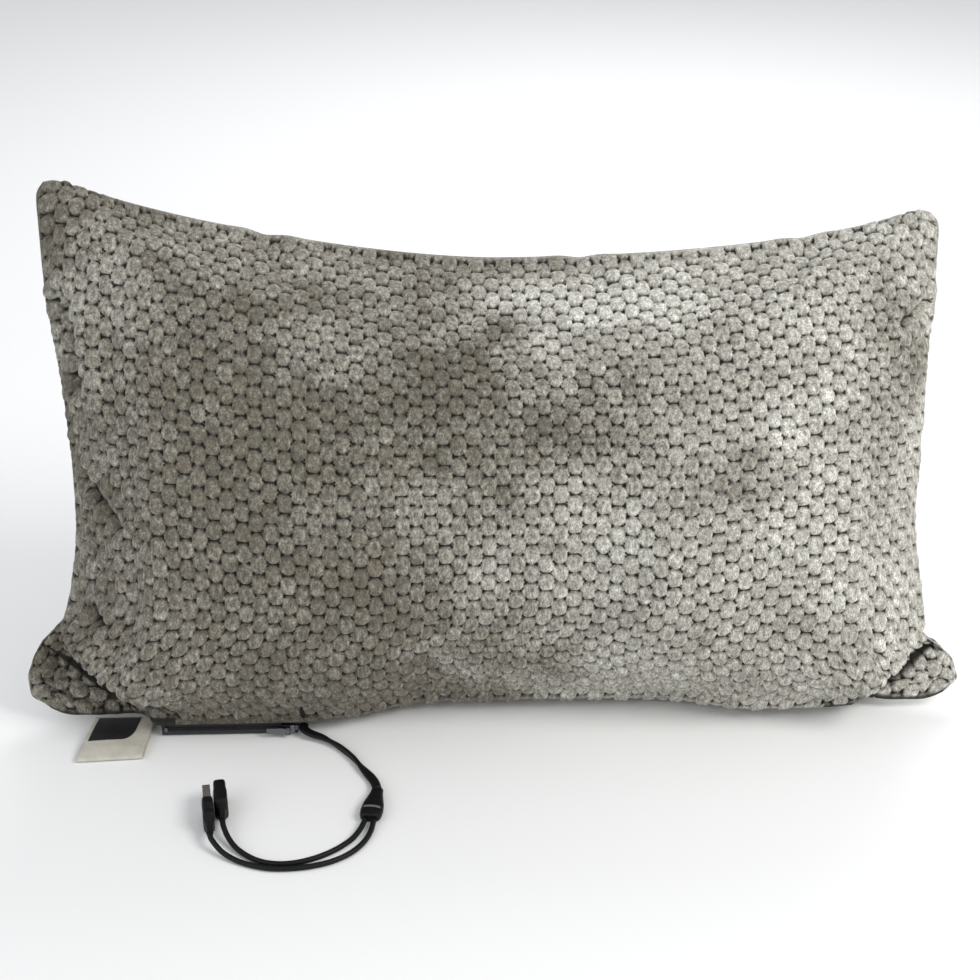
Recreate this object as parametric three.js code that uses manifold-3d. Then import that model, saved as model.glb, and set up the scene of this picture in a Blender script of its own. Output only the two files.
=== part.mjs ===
// A USB-heated throw pillow that stands on its long bottom edge and leans back.
// Millimetres, +Z up, X along the width, the front faces -Y. The origin is the middle of the
// flat strip that the pillow stands on. Two plush cover panels meet in one seam. Inside them
// lie the casing with its filling and, behind the front panel, the heating pad. A short zip
// in the bottom seam lets the pad's lead out to a flat Y-cable with a plug and a socket.
import * as THREE from "three";
import { mergeVertices } from "three/addons/utils/BufferGeometryUtils.js";
import Module from "manifold-3d";

const wasm = await Module();
wasm.setup();

// ---- filled cover ----
const halfWidth = 276; // middle to a corner tip
const sidePull = 15; // the side seams pull in by this at mid height
const seamLift = 5; // the bottom seam above the ground
const seamMidY = -28; // bottom seam in the middle of the width
const lobeDepth = 16; // the bottom seam stands this much further forward at both lobes
const earSetBack = 11; // and steps back by this at the two ears
const topSeamY = 76;
const topSeamZ = 272; // top seam in the middle of the width
const tipRiseLeft = 40; // the corner tips stand above the middle by these
const tipRiseRight = 22;
const frontBulge = 62; // front panel in front of the plane through the seams
const heelY = 42; // where the back panel leaves the ground
const backY = 84; // rearmost line of the back panel
const baseSink = 9; // how far the unloaded back panel would reach below the ground
const lobeStart = [41, 105]; // distances from the middle over which a lobe grows
const earStart = [212.5, 226]; // and over which it steps back to the ear
const panelGap = 0.3; // between the two panels at the seam
const fitGap = 0.3; // between touching pieces
const coverFacet = 21.5; // a panel has two columns of facets for each of these in its half width
const casingFacet = 26;
const fillingFacet = 28;

// ---- layers ----
const coverWall = 2; // plush and its backing at the seam
const coverLoft = 0.03; // extra share of the bulge that the pile adds in the middle
const coverFloorWall = 2.6; // the cover pressed flat under the pillow
const casingWall = 0.8;
const casingEdgeInset = [0.05, 0.09]; // casing seam inside the cover seam, across and up
const casingFrontInset = 0.2; // room for the pad behind the front panel
const casingBackInset = 0.08;
const casingLoft = 0.02;
const fillingEdgeInset = [0.085, 0.14];
const fillingInset = 0.07;
const layerGap = 0.4;

// ---- heating pad ----
const padLeft = -150;
const padRight = 150;
const padBottom = -0.42; // heights run from -1 at the bottom seam to 1 at the top seam
const padTop = 0.5;
const padCoverGap = 1.4;
const padFaceThickness = 0.6;
const padCarrierThickness = 1;
const wireRadius = 0.6;
const wireRoom = 1.6; // on each side of the wire
const wirePasses = 7;
const wireMargin = 16;
const wireReturn = 7; // the way back runs this far inside the pad's left edge
const sleeveLength = 12;
const sleeveRadius = 1.9;
const leadX = -124; // the lead runs straight down to the end of the zip
const cutoutSize = [9, 1.2, 4];
const cutoutOffset = 62; // to the right of the lead

// ---- zip ----
const zipLeft = -211.5;
const zipRight = -127.6;
const zipCutLeft = -212;
const zipCutRight = -119.5;
const zipSeamY = seamMidY - lobeDepth; // the seam is straight along the zip
const zipCutTop = seamLift + 5.5;
const zipCutBack = zipSeamY + 8;
const zipCutFront = zipSeamY - 26;
const tapeThickness = 0.6;
const tapeTail = 4; // tape beyond the chain at its closed end
const tapeFaceY = zipSeamY - 1.6;
const tapeLipReach = 1.9; // forward to the front panel's edge
const tapeBottom = 1;
const chainMiddleZ = seamLift + 0.7;
const coilHeight = 1.3;
const coilDepth = 1.3;
const stopLength = 1.5;
const sliderLength = 8;
const sliderPlate = 1.1;
const sliderFlange = 1;
const cheekThickness = 0.8;
const cheekReach = 3;
const cheekWidth = 2.6;
const cheekRoot = 0.3; // a cheek starts this deep in the plate
const pinRadius = 0.5;
const pinClearance = 0.3;
const pullLength = 13;
const pullThickness = 0.8;
const pullWidth = 4.1;
const pullEyeWall = 0.6;
const pullGap = 0.4; // between the eye and the slider
const pullNeck = 2.6; // the narrow stretch between the cheeks
const pullLap = 0.4; // the neck runs this far into the tab

// ---- label ----
const labelLeft = -262;
const labelRight = -223;
const labelLength = 30;
const labelHingeY = zipSeamY + earSetBack - 7.3;
const labelHingeZ = seamLift - 1.6;
const labelEndZ = 1.2;
const labelLayer = 0.4;
const labelFoldGap = 0.5;
const labelFoldWall = 0.6; // at the folded end
const patchWidth = 24;
const patchLength = 17;
const patchThickness = 0.4;
const patchMargin = 7; // to the label's right edge
const patchInset = 1.5; // from the label's seam

// ---- cable ----
const trunkWidth = 5.6;
const trunkThickness = 3;
const branchDiameter = 3.2;
const leadDiameter = 3;
const splitterLength = 27.5;
const splitterWidth = 13.4;
const splitterHeight = 7;
const splitterTurn = -8.5; // degrees from +Y towards -X
const groundGap = 0.05; // below the splitter and the connectors

// ---- connectors, both lying on edge ----
const connectorTurn = 8.5; // degrees from +Y towards -X
const plugBack = [-171.1, -151.7];
const socketBack = [-165.2, -138.9];
const plugBootLength = 9;
const plugBodyLength = 17;
const shellHeight = 12;
const shellWidth = 4.5;
const shellWall = 0.3;
const shellReach = 12;
const plugTongueWidth = 1.6;
const plugTongueInset = 0.8; // behind the shell's mouth
const plugContactInset = 3;
const socketBootLength = 8;
const socketBodyLength = 21;
const socketShellHeight = 13.1;
const socketShellWidth = 5.7;
const socketDepth = 12;
const socketTongueWidth = 1.8;
const socketTongueMargin = 1.1; // above and below the tongue
const socketTongueInset = 3.2; // behind the mouth
const socketSleeveInset = 0.2;
const socketContactInset = 1.4;
const contactPitch = 2.4;
const contactWidth = 1;
const contactThickness = 0.2;
const contactLength = 6.5;
const contactLift = 0.1; // off the tongue
const mouldWall = 0.95; // round the socket's shell, top and bottom
const mouldSide = 1.15; // and at its sides
const plugMouldSide = 1.05;
const bodyHeight = socketShellHeight + 2 * mouldWall;
const socketBodyWidth = socketShellWidth + 2 * mouldSide;
const plugBodyWidth = shellWidth + 2 * plugMouldSide;

const part = new THREE.Group();
const V = (x, y, z) => new THREE.Vector3(x, y, z);

function finish(colour, roughness, metalness = 0) {
  return () => new THREE.MeshStandardMaterial({ color: colour, roughness, metalness });
}
const plush = finish(0x9b9388, 0.95);
const cotton = finish(0xe6e2da, 0.9);
const fibre = finish(0xf4f3f0, 1);
const felt = finish(0xd9d6d0, 0.95);
const heater = finish(0x3a3a3c, 0.6);
const tapeBlack = finish(0x17171a, 0.85);
const coilBlack = finish(0x202024, 0.5);
const nickel = finish(0xb9bbbe, 0.3, 1);
const satin = finish(0xd8d3c6, 0.45);
const patchBlack = finish(0x101012, 0.7);
const cableBlack = finish(0x121214, 0.5);
const mouldBlack = finish(0x0e0e10, 0.55);
const tongueWhite = finish(0xf0f0ee, 0.5);
const gold = finish(0xd9b45a, 0.25, 1);

function add(name, geometry, material, group = part) {
  const mesh = new THREE.Mesh(geometry, material());
  mesh.name = name;
  group.add(mesh);
  return mesh;
}

// A geometry from rows of points and triangles, turned to face outwards.
function bodyFrom(points, triangles) {
  let volume = 0;
  for (const [a, b, c] of triangles) {
    volume += points[a].dot(points[b].clone().cross(points[c]));
  }
  const flat = [];
  for (const [a, b, c] of triangles) {
    for (const i of volume > 0 ? [a, b, c] : [a, c, b]) {
      flat.push(points[i].x, points[i].y, points[i].z);
    }
  }
  const geometry = new THREE.BufferGeometry();
  geometry.setAttribute("position", new THREE.Float32BufferAttribute(flat, 3));
  geometry.computeVertexNormals();
  return geometry;
}

// Two grids of points over the same columns and rows, closed along their four edges.
function sheetBetween(outerAt, innerAt, columns, rows) {
  const points = [];
  for (const at of [outerAt, innerAt]) {
    for (let j = 0; j <= rows; j++) {
      for (let i = 0; i <= columns; i++) {
        points.push(at(i / columns, j / rows));
      }
    }
  }
  const count = (columns + 1) * (rows + 1);
  const outer = (i, j) => j * (columns + 1) + i;
  const inner = (i, j) => count + outer(i, j);
  const triangles = [];
  const quad = (a, b, c, d) => triangles.push([a, b, c], [a, c, d]);
  for (let j = 0; j < rows; j++) {
    for (let i = 0; i < columns; i++) {
      quad(outer(i, j), outer(i + 1, j), outer(i + 1, j + 1), outer(i, j + 1));
      quad(inner(i, j), inner(i, j + 1), inner(i + 1, j + 1), inner(i + 1, j));
    }
  }
  for (let i = 0; i < columns; i++) {
    quad(outer(i, 0), inner(i, 0), inner(i + 1, 0), outer(i + 1, 0));
    quad(outer(i, rows), outer(i + 1, rows), inner(i + 1, rows), inner(i, rows));
  }
  for (let j = 0; j < rows; j++) {
    quad(outer(0, j), outer(0, j + 1), inner(0, j + 1), inner(0, j));
    quad(outer(columns, j), inner(columns, j), inner(columns, j + 1), outer(columns, j + 1));
  }
  return bodyFrom(points, triangles);
}

// Rings of rounded-rectangle section along Y, closed with a cap at each end.
// A section is [y, half width, half height, middle height].
function loft(sections, sides = 16, squareness = 0.45) {
  const points = [];
  const round = (value) => Math.sign(value) * Math.abs(value) ** squareness;
  for (const [y, halfX, halfZ, z] of sections) {
    for (let i = 0; i < sides; i++) {
      const angle = (2 * Math.PI * (i + 0.5)) / sides;
      points.push(V(halfX * round(Math.cos(angle)), y, z + halfZ * round(Math.sin(angle))));
    }
  }
  const triangles = [];
  const at = (k, i) => k * sides + (i % sides);
  for (let k = 0; k + 1 < sections.length; k++) {
    for (let i = 0; i < sides; i++) {
      triangles.push([at(k, i), at(k + 1, i), at(k + 1, i + 1)]);
      triangles.push([at(k, i), at(k + 1, i + 1), at(k, i + 1)]);
    }
  }
  const last = sections.length - 1;
  for (let i = 1; i + 1 < sides; i++) {
    triangles.push([at(0, 0), at(0, i), at(0, i + 1)], [at(last, 0), at(last, i + 1), at(last, i)]);
  }
  return bodyFrom(points, triangles);
}

// A plain block from its lowest to its highest corner.
function block(low, high) {
  const geometry = new THREE.BoxGeometry(high[0] - low[0], high[1] - low[1], high[2] - low[2]);
  return geometry.translate((low[0] + high[0]) / 2, (low[1] + high[1]) / 2, (low[2] + high[2]) / 2);
}

// A prism whose outline is given in Y and Z, from x0 to x1.
function bar(outline, x0, x1) {
  const shape = new THREE.Shape(outline.map(([y, z]) => new THREE.Vector2(y, z)));
  const geometry = new THREE.ExtrudeGeometry(shape, { depth: x1 - x0, bevelEnabled: false });
  const basis = new THREE.Matrix4().makeBasis(V(0, 1, 0), V(0, 0, 1), V(1, 0, 0));
  return geometry.applyMatrix4(basis).translate(x0, 0, 0);
}

// A tube of elliptical section along a smooth curve through hand-placed points. A route that
// starts out level has its section's first size upright.
function tube(route, upright, across, steps, sides = 8) {
  const curve = new THREE.CatmullRomCurve3(route.map((p) => V(...p)), false, "centripetal");
  const section = new THREE.Shape();
  for (let i = 0; i < sides; i++) {
    const angle = (2 * Math.PI * (i + 0.5)) / sides;
    const x = (upright / 2) * Math.cos(angle);
    const y = (across / 2) * Math.sin(angle);
    if (i === 0) section.moveTo(x, y);
    else section.lineTo(x, y);
  }
  section.closePath();
  return new THREE.ExtrudeGeometry(section, { steps, extrudePath: curve, bevelEnabled: false });
}

function solidOf(geometry) {
  const plain = geometry.index ? geometry.toNonIndexed() : geometry.clone();
  plain.deleteAttribute("normal");
  plain.deleteAttribute("uv");
  const merged = mergeVertices(plain, 1e-4);
  return new wasm.Manifold(
    new wasm.Mesh({
      numProp: 3,
      vertProperties: merged.attributes.position.array,
      triVerts: new Uint32Array(merged.index.array),
    }),
  );
}

function geometryOf(solid) {
  const mesh = solid.getMesh();
  const geometry = new THREE.BufferGeometry();
  geometry.setAttribute("position", new THREE.Float32BufferAttribute(mesh.vertProperties, 3));
  geometry.setIndex(new THREE.BufferAttribute(mesh.triVerts, 1));
  return geometry;
}

function cut(geometry, ...tools) {
  let solid = solidOf(geometry);
  for (const tool of tools) solid = solid.subtract(solidOf(tool));
  return geometryOf(solid);
}

function join(...pieces) {
  let solid = solidOf(pieces[0]);
  for (const piece of pieces.slice(1)) solid = solid.add(solidOf(piece));
  return geometryOf(solid);
}

// ---- the shape of the filled pillow ----
const smooth = THREE.MathUtils.smoothstep;
const lean = Math.atan2(topSeamY - seamMidY, topSeamZ - seamLift);
const towardsFront = V(0, -Math.cos(lean), Math.sin(lean));

// s runs from -1 at the left seam to 1 at the right, t from -1 at the bottom to 1 at the top.
function bottomSeamY(s) {
  const x = Math.abs(s) * halfWidth;
  return seamMidY - lobeDepth * smooth(x, ...lobeStart) + earSetBack * smooth(x, ...earStart);
}

function middlePoint(s, t) {
  const rise = s < 0 ? tipRiseLeft : tipRiseRight;
  const up = (t + 1) / 2;
  const x = s * (halfWidth - sidePull * (1 - t * t));
  const y = THREE.MathUtils.lerp(bottomSeamY(s), topSeamY, up);
  const z = THREE.MathUtils.lerp(seamLift, topSeamZ + rise * Math.abs(s) ** 3, up);
  return V(x, y, z);
}

const fullness = (s) => Math.max(0, 1 - s * s) ** 0.42;

const backSection = new THREE.CatmullRomCurve3(
  [
    V(0, seamMidY, seamLift),
    V(0, seamMidY + 0.3 * (heelY - seamMidY), -baseSink),
    V(0, heelY - 12, -baseSink),
    V(0, heelY + 20, 0.07 * topSeamZ),
    V(0, backY - 3, 0.28 * topSeamZ),
    V(0, backY, 0.55 * topSeamZ),
    V(0, backY - 1, 0.8 * topSeamZ),
    V(0, topSeamY, topSeamZ),
  ],
  false,
  "centripetal",
);

function bulge(side, s, t) {
  if (side === "front") {
    const reach = frontBulge * Math.max(0, 1 - t * t) ** 0.7;
    return towardsFront.clone().multiplyScalar(reach * fullness(s));
  }
  const section = backSection.getPointAt((t + 1) / 2);
  return section.sub(middlePoint(0, t)).multiplyScalar(fullness(s));
}

// A point of a layer: edge holds how far its seam is inside the cover's, inset the share of
// the bulge that it stays behind, proud how far it stands off the seam plane, and floor the
// height that it can't go below.
function layerPoint(side, s, t, { edge = [0, 0], inset = 0, proud = 0, floor = 0 }) {
  const out = side === "front" ? 1 : -1;
  const point = middlePoint(s * (1 - edge[0]), t * (1 - edge[1]));
  point.addScaledVector(bulge(side, s, t), 1 - inset);
  point.addScaledVector(towardsFront, out * (panelGap / 2 + proud));
  point.z = Math.max(point.z, floor);
  return point;
}

const columnsFor = (facet) => 2 * Math.ceil(halfWidth / facet);
const spread = (share) => Math.sin(Math.PI * (share - 0.5)); // rows and columns crowd at the seams

function shell(side, outer, inner, columns, rows) {
  const at = (layer) => (a, b) => layerPoint(side, spread(a), spread(b), layer);
  return sheetBetween(at(outer), at(inner), columns, rows);
}

const coverOuter = { proud: coverWall };
const coverInner = { inset: coverLoft, floor: coverFloorWall };
const casingFloor = coverFloorWall + layerGap;
const casingOuter = {
  front: { edge: casingEdgeInset, inset: casingFrontInset, proud: casingWall, floor: casingFloor },
  back: { edge: casingEdgeInset, inset: casingBackInset, proud: casingWall, floor: casingFloor },
};
const casingInner = {
  front: { edge: casingEdgeInset, inset: casingFrontInset + casingLoft, floor: casingFloor + casingWall },
  back: { edge: casingEdgeInset, inset: casingBackInset + casingLoft, floor: casingFloor + casingWall },
};
const fillingFloor = casingFloor + casingWall + layerGap;

function makeCovers() {
  const tool = block([zipCutLeft, zipCutFront, -baseSink], [zipCutRight, zipCutBack, zipCutTop]);
  const front = shell("front", coverOuter, coverInner, columnsFor(coverFacet), 20);
  const back = shell("back", coverOuter, coverInner, columnsFor(coverFacet), 22);
  add("cover_front", cut(front, tool), plush);
  add("cover_back", cut(back, tool), plush);
}

function makeCasing() {
  const columns = columnsFor(casingFacet);
  add("casing_front", shell("front", casingOuter.front, casingInner.front, columns, 14), cotton);
  add("casing_back", shell("back", casingOuter.back, casingInner.back, columns, 18), cotton);
}

function makeFilling() {
  const layer = (side) => ({
    edge: fillingEdgeInset,
    inset: fillingInset + (side === "front" ? casingFrontInset : casingBackInset),
    floor: fillingFloor,
  });
  const at = (side) => (a, b) => layerPoint(side, spread(a), spread(b), layer(side));
  add("filling", sheetBetween(at("front"), at("back"), columnsFor(fillingFacet), 16), fibre);
}

// ---- heating pad ----
// A point behind the front panel's inner face, at a given depth below it.
function padPoint(x, t, depth) {
  const s = x / (halfWidth - sidePull * (1 - t * t));
  return layerPoint("front", s, t, { inset: coverLoft, proud: -depth });
}

const wireDepth = padCoverGap + padFaceThickness + wireRoom + wireRadius;
const carrierDepth = wireDepth + wireRadius + wireRoom;
const sleeveTop = padBottom - 0.03;

function padSheet(depth, thickness) {
  const at = (extra) => (a, b) =>
    padPoint(
      THREE.MathUtils.lerp(padLeft, padRight, a),
      THREE.MathUtils.lerp(padBottom, padTop, b),
      depth + extra,
    );
  return sheetBetween(at(0), at(thickness), 14, 12);
}

// A round rod from one point to another.
function rod(from, to, radius, sides = 12) {
  const along = to.clone().sub(from);
  const geometry = new THREE.CylinderGeometry(radius, radius, along.length(), sides);
  const turn = new THREE.Quaternion().setFromUnitVectors(V(0, 1, 0), along.normalize());
  const middle = from.clone().add(to).multiplyScalar(0.5);
  return geometry.applyQuaternion(turn).translate(...middle.toArray());
}

// Both ends of the wire meet in the sleeve; in between it runs across the pad and back.
function wireRoute() {
  const left = padLeft + wireMargin;
  const right = padRight - wireMargin;
  const first = padBottom + 0.08;
  const low = first + 0.09;
  const high = padTop - 0.07;
  const at = (x, t) => padPoint(x, t, wireDepth);
  const pair = wireRadius + fitGap / 2;
  const route = [at(leadX + pair, sleeveTop), at(leadX + pair, padBottom), at(leadX + 4, first - 0.03)];
  for (let x = leadX + 12; x < right - 6; x += 30) route.push(at(x, first));
  for (let k = 0; k < wirePasses; k++) {
    const t = THREE.MathUtils.lerp(low, high, k / (wirePasses - 1));
    const ends = k % 2 === 0 ? [right, left] : [left, right];
    for (const share of [0.04, 0.15, 0.3, 0.45, 0.6, 0.75, 0.9, 0.96]) {
      route.push(at(THREE.MathUtils.lerp(...ends, share), t));
    }
  }
  const back = padLeft + wireReturn;
  for (let t = high - 0.05; t > first; t -= 0.1) route.push(at(back, t));
  route.push(at(back + 3, first - 0.02), at(leadX - 5, padBottom + 0.02), at(leadX - pair, sleeveTop));
  return route.map((p) => p.toArray());
}

function makePad() {
  add("heat_pad_face", padSheet(padCoverGap, padFaceThickness), felt);
  add("heat_pad_carrier", padSheet(carrierDepth, padCarrierThickness), felt);
  add("heating_wire", tube(wireRoute(), 2 * wireRadius, 2 * wireRadius, 190, 6), heater);
  const down = padPoint(leadX, sleeveTop - 0.08, wireDepth).sub(padPoint(leadX, sleeveTop, wireDepth));
  down.normalize();
  const top = padPoint(leadX, sleeveTop, wireDepth).addScaledVector(down, fitGap);
  const bottom = top.clone().addScaledVector(down, sleeveLength);
  add("wire_sleeve", rod(top, bottom, sleeveRadius), cotton);
  const leadStart = bottom.clone().addScaledVector(down, fitGap);
  const onPanel = [-0.62, -0.72, -0.82].map((t) => padPoint(leadX, t, wireDepth + 0.6));
  const leadRoute = [leadStart, ...onPanel].map((p) => p.toArray()).concat(leadFoot);
  add("inner_lead", tube(leadRoute, leadDiameter, leadDiameter, 22), cableBlack);
  const cutoutX = leadX + cutoutOffset;
  const cutoutT = padBottom + 0.035;
  const up = padPoint(cutoutX, cutoutT + 0.02, wireDepth).sub(padPoint(cutoutX, cutoutT - 0.02, wireDepth));
  const cutout = new THREE.BoxGeometry(...cutoutSize).rotateX(Math.atan2(up.z, up.y) - Math.PI / 2);
  add("thermal_cutout", cutout.translate(...padPoint(cutoutX, cutoutT, wireDepth).toArray()), coilBlack);
}

// ---- zip ----
const coilLift = fitGap / 2;
const coilBackFace = tapeFaceY - fitGap;
const coilFrontFace = coilBackFace - coilDepth;
const coilTop = chainMiddleZ + coilLift + coilHeight;
const coilBottom = chainMiddleZ - coilLift - coilHeight;
const sliderRestX = zipRight - stopLength - fitGap - sliderLength / 2;
const plateBack = coilFrontFace - fitGap;
const plateFront = plateBack - sliderPlate;
const pinY = plateFront - pinRadius - pinClearance - pullEyeWall - pullGap;
const flangeTop = coilTop + fitGap;
const flangeBottom = coilBottom - fitGap;

function makeZip() {
  const tapeBack = tapeFaceY + tapeThickness;
  const tapeTop = zipCutTop - fitGap;
  const tapeLip = tapeTop - tapeThickness;
  const frontOutline = [
    [tapeFaceY, chainMiddleZ + coilLift],
    [tapeBack, chainMiddleZ + coilLift],
    [tapeBack, tapeTop],
    [tapeFaceY - tapeLipReach, tapeTop],
    [tapeFaceY - tapeLipReach, tapeLip],
    [tapeFaceY, tapeLip],
  ];
  const backOutline = [
    [tapeFaceY, tapeBottom],
    [zipCutBack - fitGap, tapeBottom],
    [zipCutBack - fitGap, tapeBottom + tapeThickness],
    [tapeBack, tapeBottom + tapeThickness],
    [tapeBack, chainMiddleZ - coilLift],
    [tapeFaceY, chainMiddleZ - coilLift],
  ];
  add("zip_tape_front", bar(frontOutline, zipLeft, zipRight), tapeBlack);
  add("zip_tape_back", bar(backOutline, zipLeft, zipRight), tapeBlack);
  const coilLeft = zipLeft + tapeTail;
  const coilRight = zipRight - stopLength - fitGap;
  const rows = { front: [chainMiddleZ + coilLift, coilTop], back: [coilBottom, chainMiddleZ - coilLift] };
  for (const [side, [low, high]] of Object.entries(rows)) {
    const coil = block([coilLeft, coilFrontFace, low], [coilRight, coilBackFace, high]);
    add("zip_coil_" + side, coil, coilBlack);
    const stop = block([zipRight - stopLength, coilFrontFace, low], [zipRight, coilBackFace, high]);
    add("zip_top_stop_" + side, stop, nickel);
  }
  const stopLeft = coilLeft - fitGap - stopLength;
  const stopLow = [stopLeft, coilFrontFace, coilBottom];
  add("zip_bottom_stop", block(stopLow, [stopLeft + stopLength, coilBackFace, coilTop]), nickel);
}

function makeSlider() {
  const x0 = sliderRestX - sliderLength / 2;
  const x1 = sliderRestX + sliderLength / 2;
  const outline = [
    [plateFront, flangeBottom - sliderFlange],
    [coilBackFace, flangeBottom - sliderFlange],
    [coilBackFace, flangeBottom],
    [plateBack, flangeBottom],
    [plateBack, flangeTop],
    [coilBackFace, flangeTop],
    [coilBackFace, flangeTop + sliderFlange],
    [plateFront, flangeTop + sliderFlange],
  ];
  const cheeks = [flangeBottom - cheekThickness, flangeTop].map((z) =>
    block(
      [sliderRestX - cheekWidth / 2, plateFront - cheekReach, z],
      [sliderRestX + cheekWidth / 2, plateFront + cheekRoot, z + cheekThickness],
    ),
  );
  const pinHeight = flangeTop - flangeBottom + cheekThickness;
  const pin = new THREE.CylinderGeometry(pinRadius, pinRadius, pinHeight, 16).rotateX(Math.PI / 2);
  pin.translate(sliderRestX, pinY, (flangeTop + flangeBottom) / 2);
  add("zip_slider", join(bar(outline, x0, x1), ...cheeks, pin), nickel);
  const eyeHeight = flangeTop - flangeBottom - 2 * fitGap;
  const holeRadius = pinRadius + pinClearance;
  const eyeRadius = holeRadius + pullEyeWall;
  const eye = new THREE.CylinderGeometry(eyeRadius, eyeRadius, eyeHeight, 24).rotateX(Math.PI / 2);
  const hole = new THREE.CylinderGeometry(holeRadius, holeRadius, 2 * eyeHeight, 24);
  hole.rotateX(Math.PI / 2);
  const thick = pullThickness / 2;
  const neck = block([-pullNeck - pullLap, -thick, -eyeHeight / 2], [0, thick, eyeHeight / 2]);
  const tab = block([-pullLength, -thick, -pullWidth / 2], [-pullNeck, thick, pullWidth / 2]);
  const pull = cut(join(eye, neck, tab), hole);
  pull.translate(sliderRestX, pinY, (flangeTop + flangeBottom) / 2);
  add("zip_pull", pull, nickel);
}

// ---- folded label ----
function makeLabel() {
  const half = labelLayer + labelFoldGap / 2;
  const slope = Math.atan2(labelHingeZ - labelEndZ, labelLength);
  const holder = new THREE.Group();
  holder.position.set(0, labelHingeY, labelHingeZ);
  holder.rotation.x = slope;
  part.add(holder);
  const outline = [
    [0, half],
    [-labelLength, half],
    [-labelLength - half * 0.7, half * 0.5],
    [-labelLength - half * 0.7, -half * 0.5],
    [-labelLength, -half],
    [0, -half],
    [0, -half + labelLayer],
    [-labelLength + labelFoldWall, -half + labelLayer],
    [-labelLength + labelFoldWall, half - labelLayer],
    [0, half - labelLayer],
  ];
  add("label_band", bar(outline, labelLeft, labelRight), satin, holder);
  const right = labelRight - patchMargin;
  const low = [right - patchWidth, -patchInset - patchLength, half + fitGap];
  const high = [right, -patchInset, half + fitGap + patchThickness];
  add("label_patch", block(low, high), patchBlack, holder);
}

// ---- cable ----
const leadFoot = [
  [leadX, -49.3, 17.6],
  [leadX, -44.6, 12.4],
  [leadX, -41.2, 8.6],
  [leadX, -41.3, 6.2],
  [leadX, -43.6, 5.5],
];
const trunkRoute = [
  [-124, -44, 5.5],
  [-123.5, -48, 5.1],
  [-119.5, -51.5, 4.4],
  [-112, -54.5, 3.2],
  [-104, -60.5, 2.2],
  [-93.5, -73, 1.9],
  [-85.5, -87, 1.9],
  [-79.4, -99, 2.3],
  [-77.5, -107.1, 3.5],
];
const socketRoute = [
  [-83.6, -136.2, 3.4],
  [-86.2, -143.5, 2.5],
  [-90.3, -151, 1.8],
  [-96, -157.5, 1.8],
  [-103, -163.3, 1.8],
  [-112, -168.4, 1.8],
  [-122, -171.7, 1.8],
  [-132, -172.3, 1.8],
  [-141.5, -169.8, 1.8],
  [-150, -164.2, 1.9],
  [-156.8, -157.4, 2.7],
  [-161.7, -149.8, 4.7],
  [-164.3, -143.4, 6.9],
  [-165.1, -139.3, 7.5],
];
const plugRoute = [
  [-78.7, -136.9, 3.4],
  [-80.2, -145.5, 2.4],
  [-84.4, -155.5, 1.8],
  [-91.3, -164.2, 1.8],
  [-100.5, -170.6, 1.8],
  [-111.5, -174.6, 1.8],
  [-124, -176.4, 1.8],
  [-136, -176, 1.8],
  [-147, -172.7, 1.8],
  [-156, -168.2, 2.1],
  [-163.5, -163, 3.7],
  [-168.3, -157.8, 6],
  [-170.4, -154.6, 7.2],
  [-171, -152.1, 7.5],
];

function makeCable() {
  add("cable_trunk", tube(trunkRoute, trunkThickness, trunkWidth, 16), cableBlack);
  add("cable_to_socket", tube(socketRoute, branchDiameter, branchDiameter, 24), cableBlack);
  add("cable_to_plug", tube(plugRoute, branchDiameter, branchDiameter, 26), cableBlack);
  const holder = new THREE.Group();
  holder.position.set(-81.1, -135.8, 0);
  holder.rotation.z = THREE.MathUtils.degToRad(splitterTurn);
  part.add(holder);
  const middle = splitterHeight / 2 + groundGap;
  const wide = splitterWidth / 2;
  const tall = splitterHeight / 2;
  const sections = [
    [0, wide - 1.6, tall - 0.9, middle],
    [1.2, wide - 0.5, tall - 0.2, middle],
    [7.5, wide, tall, middle],
    [13, wide - 0.5, tall, middle],
    [18.5, wide - 1.9, tall - 0.3, middle],
    [23.5, trunkWidth / 2 + 1.3, tall - 0.9, middle],
    [splitterLength, trunkWidth / 2 + 0.9, tall - 1.3, middle],
  ];
  add("splitter_body", loft(sections), mouldBlack, holder);
}

// ---- connectors ----
function connectorGroup([x, y]) {
  const holder = new THREE.Group();
  holder.position.set(x, y, 0);
  holder.rotation.z = THREE.MathUtils.degToRad(connectorTurn);
  part.add(holder);
  return holder;
}

const connectorZ = bodyHeight / 2 + groundGap;

// A metal sleeve of rectangular section, open at both ends.
function sleeveTube(width, height, y0, y1) {
  const outer = block([-width / 2, y0, connectorZ - height / 2], [width / 2, y1, connectorZ + height / 2]);
  const w = width / 2 - shellWall;
  const h = height / 2 - shellWall;
  return cut(outer, block([-w, y0 - 1, connectorZ - h], [w, y1 + 1, connectorZ + h]));
}

function addContacts(prefix, x, y0, group) {
  for (let k = 0; k < 4; k++) {
    const z = connectorZ + (k - 1.5) * contactPitch;
    const low = [x, y0, z - contactWidth / 2];
    const high = [x + contactThickness, y0 + contactLength, z + contactWidth / 2];
    add(prefix + "_contact_" + (k + 1), block(low, high), gold, group);
  }
}

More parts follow.
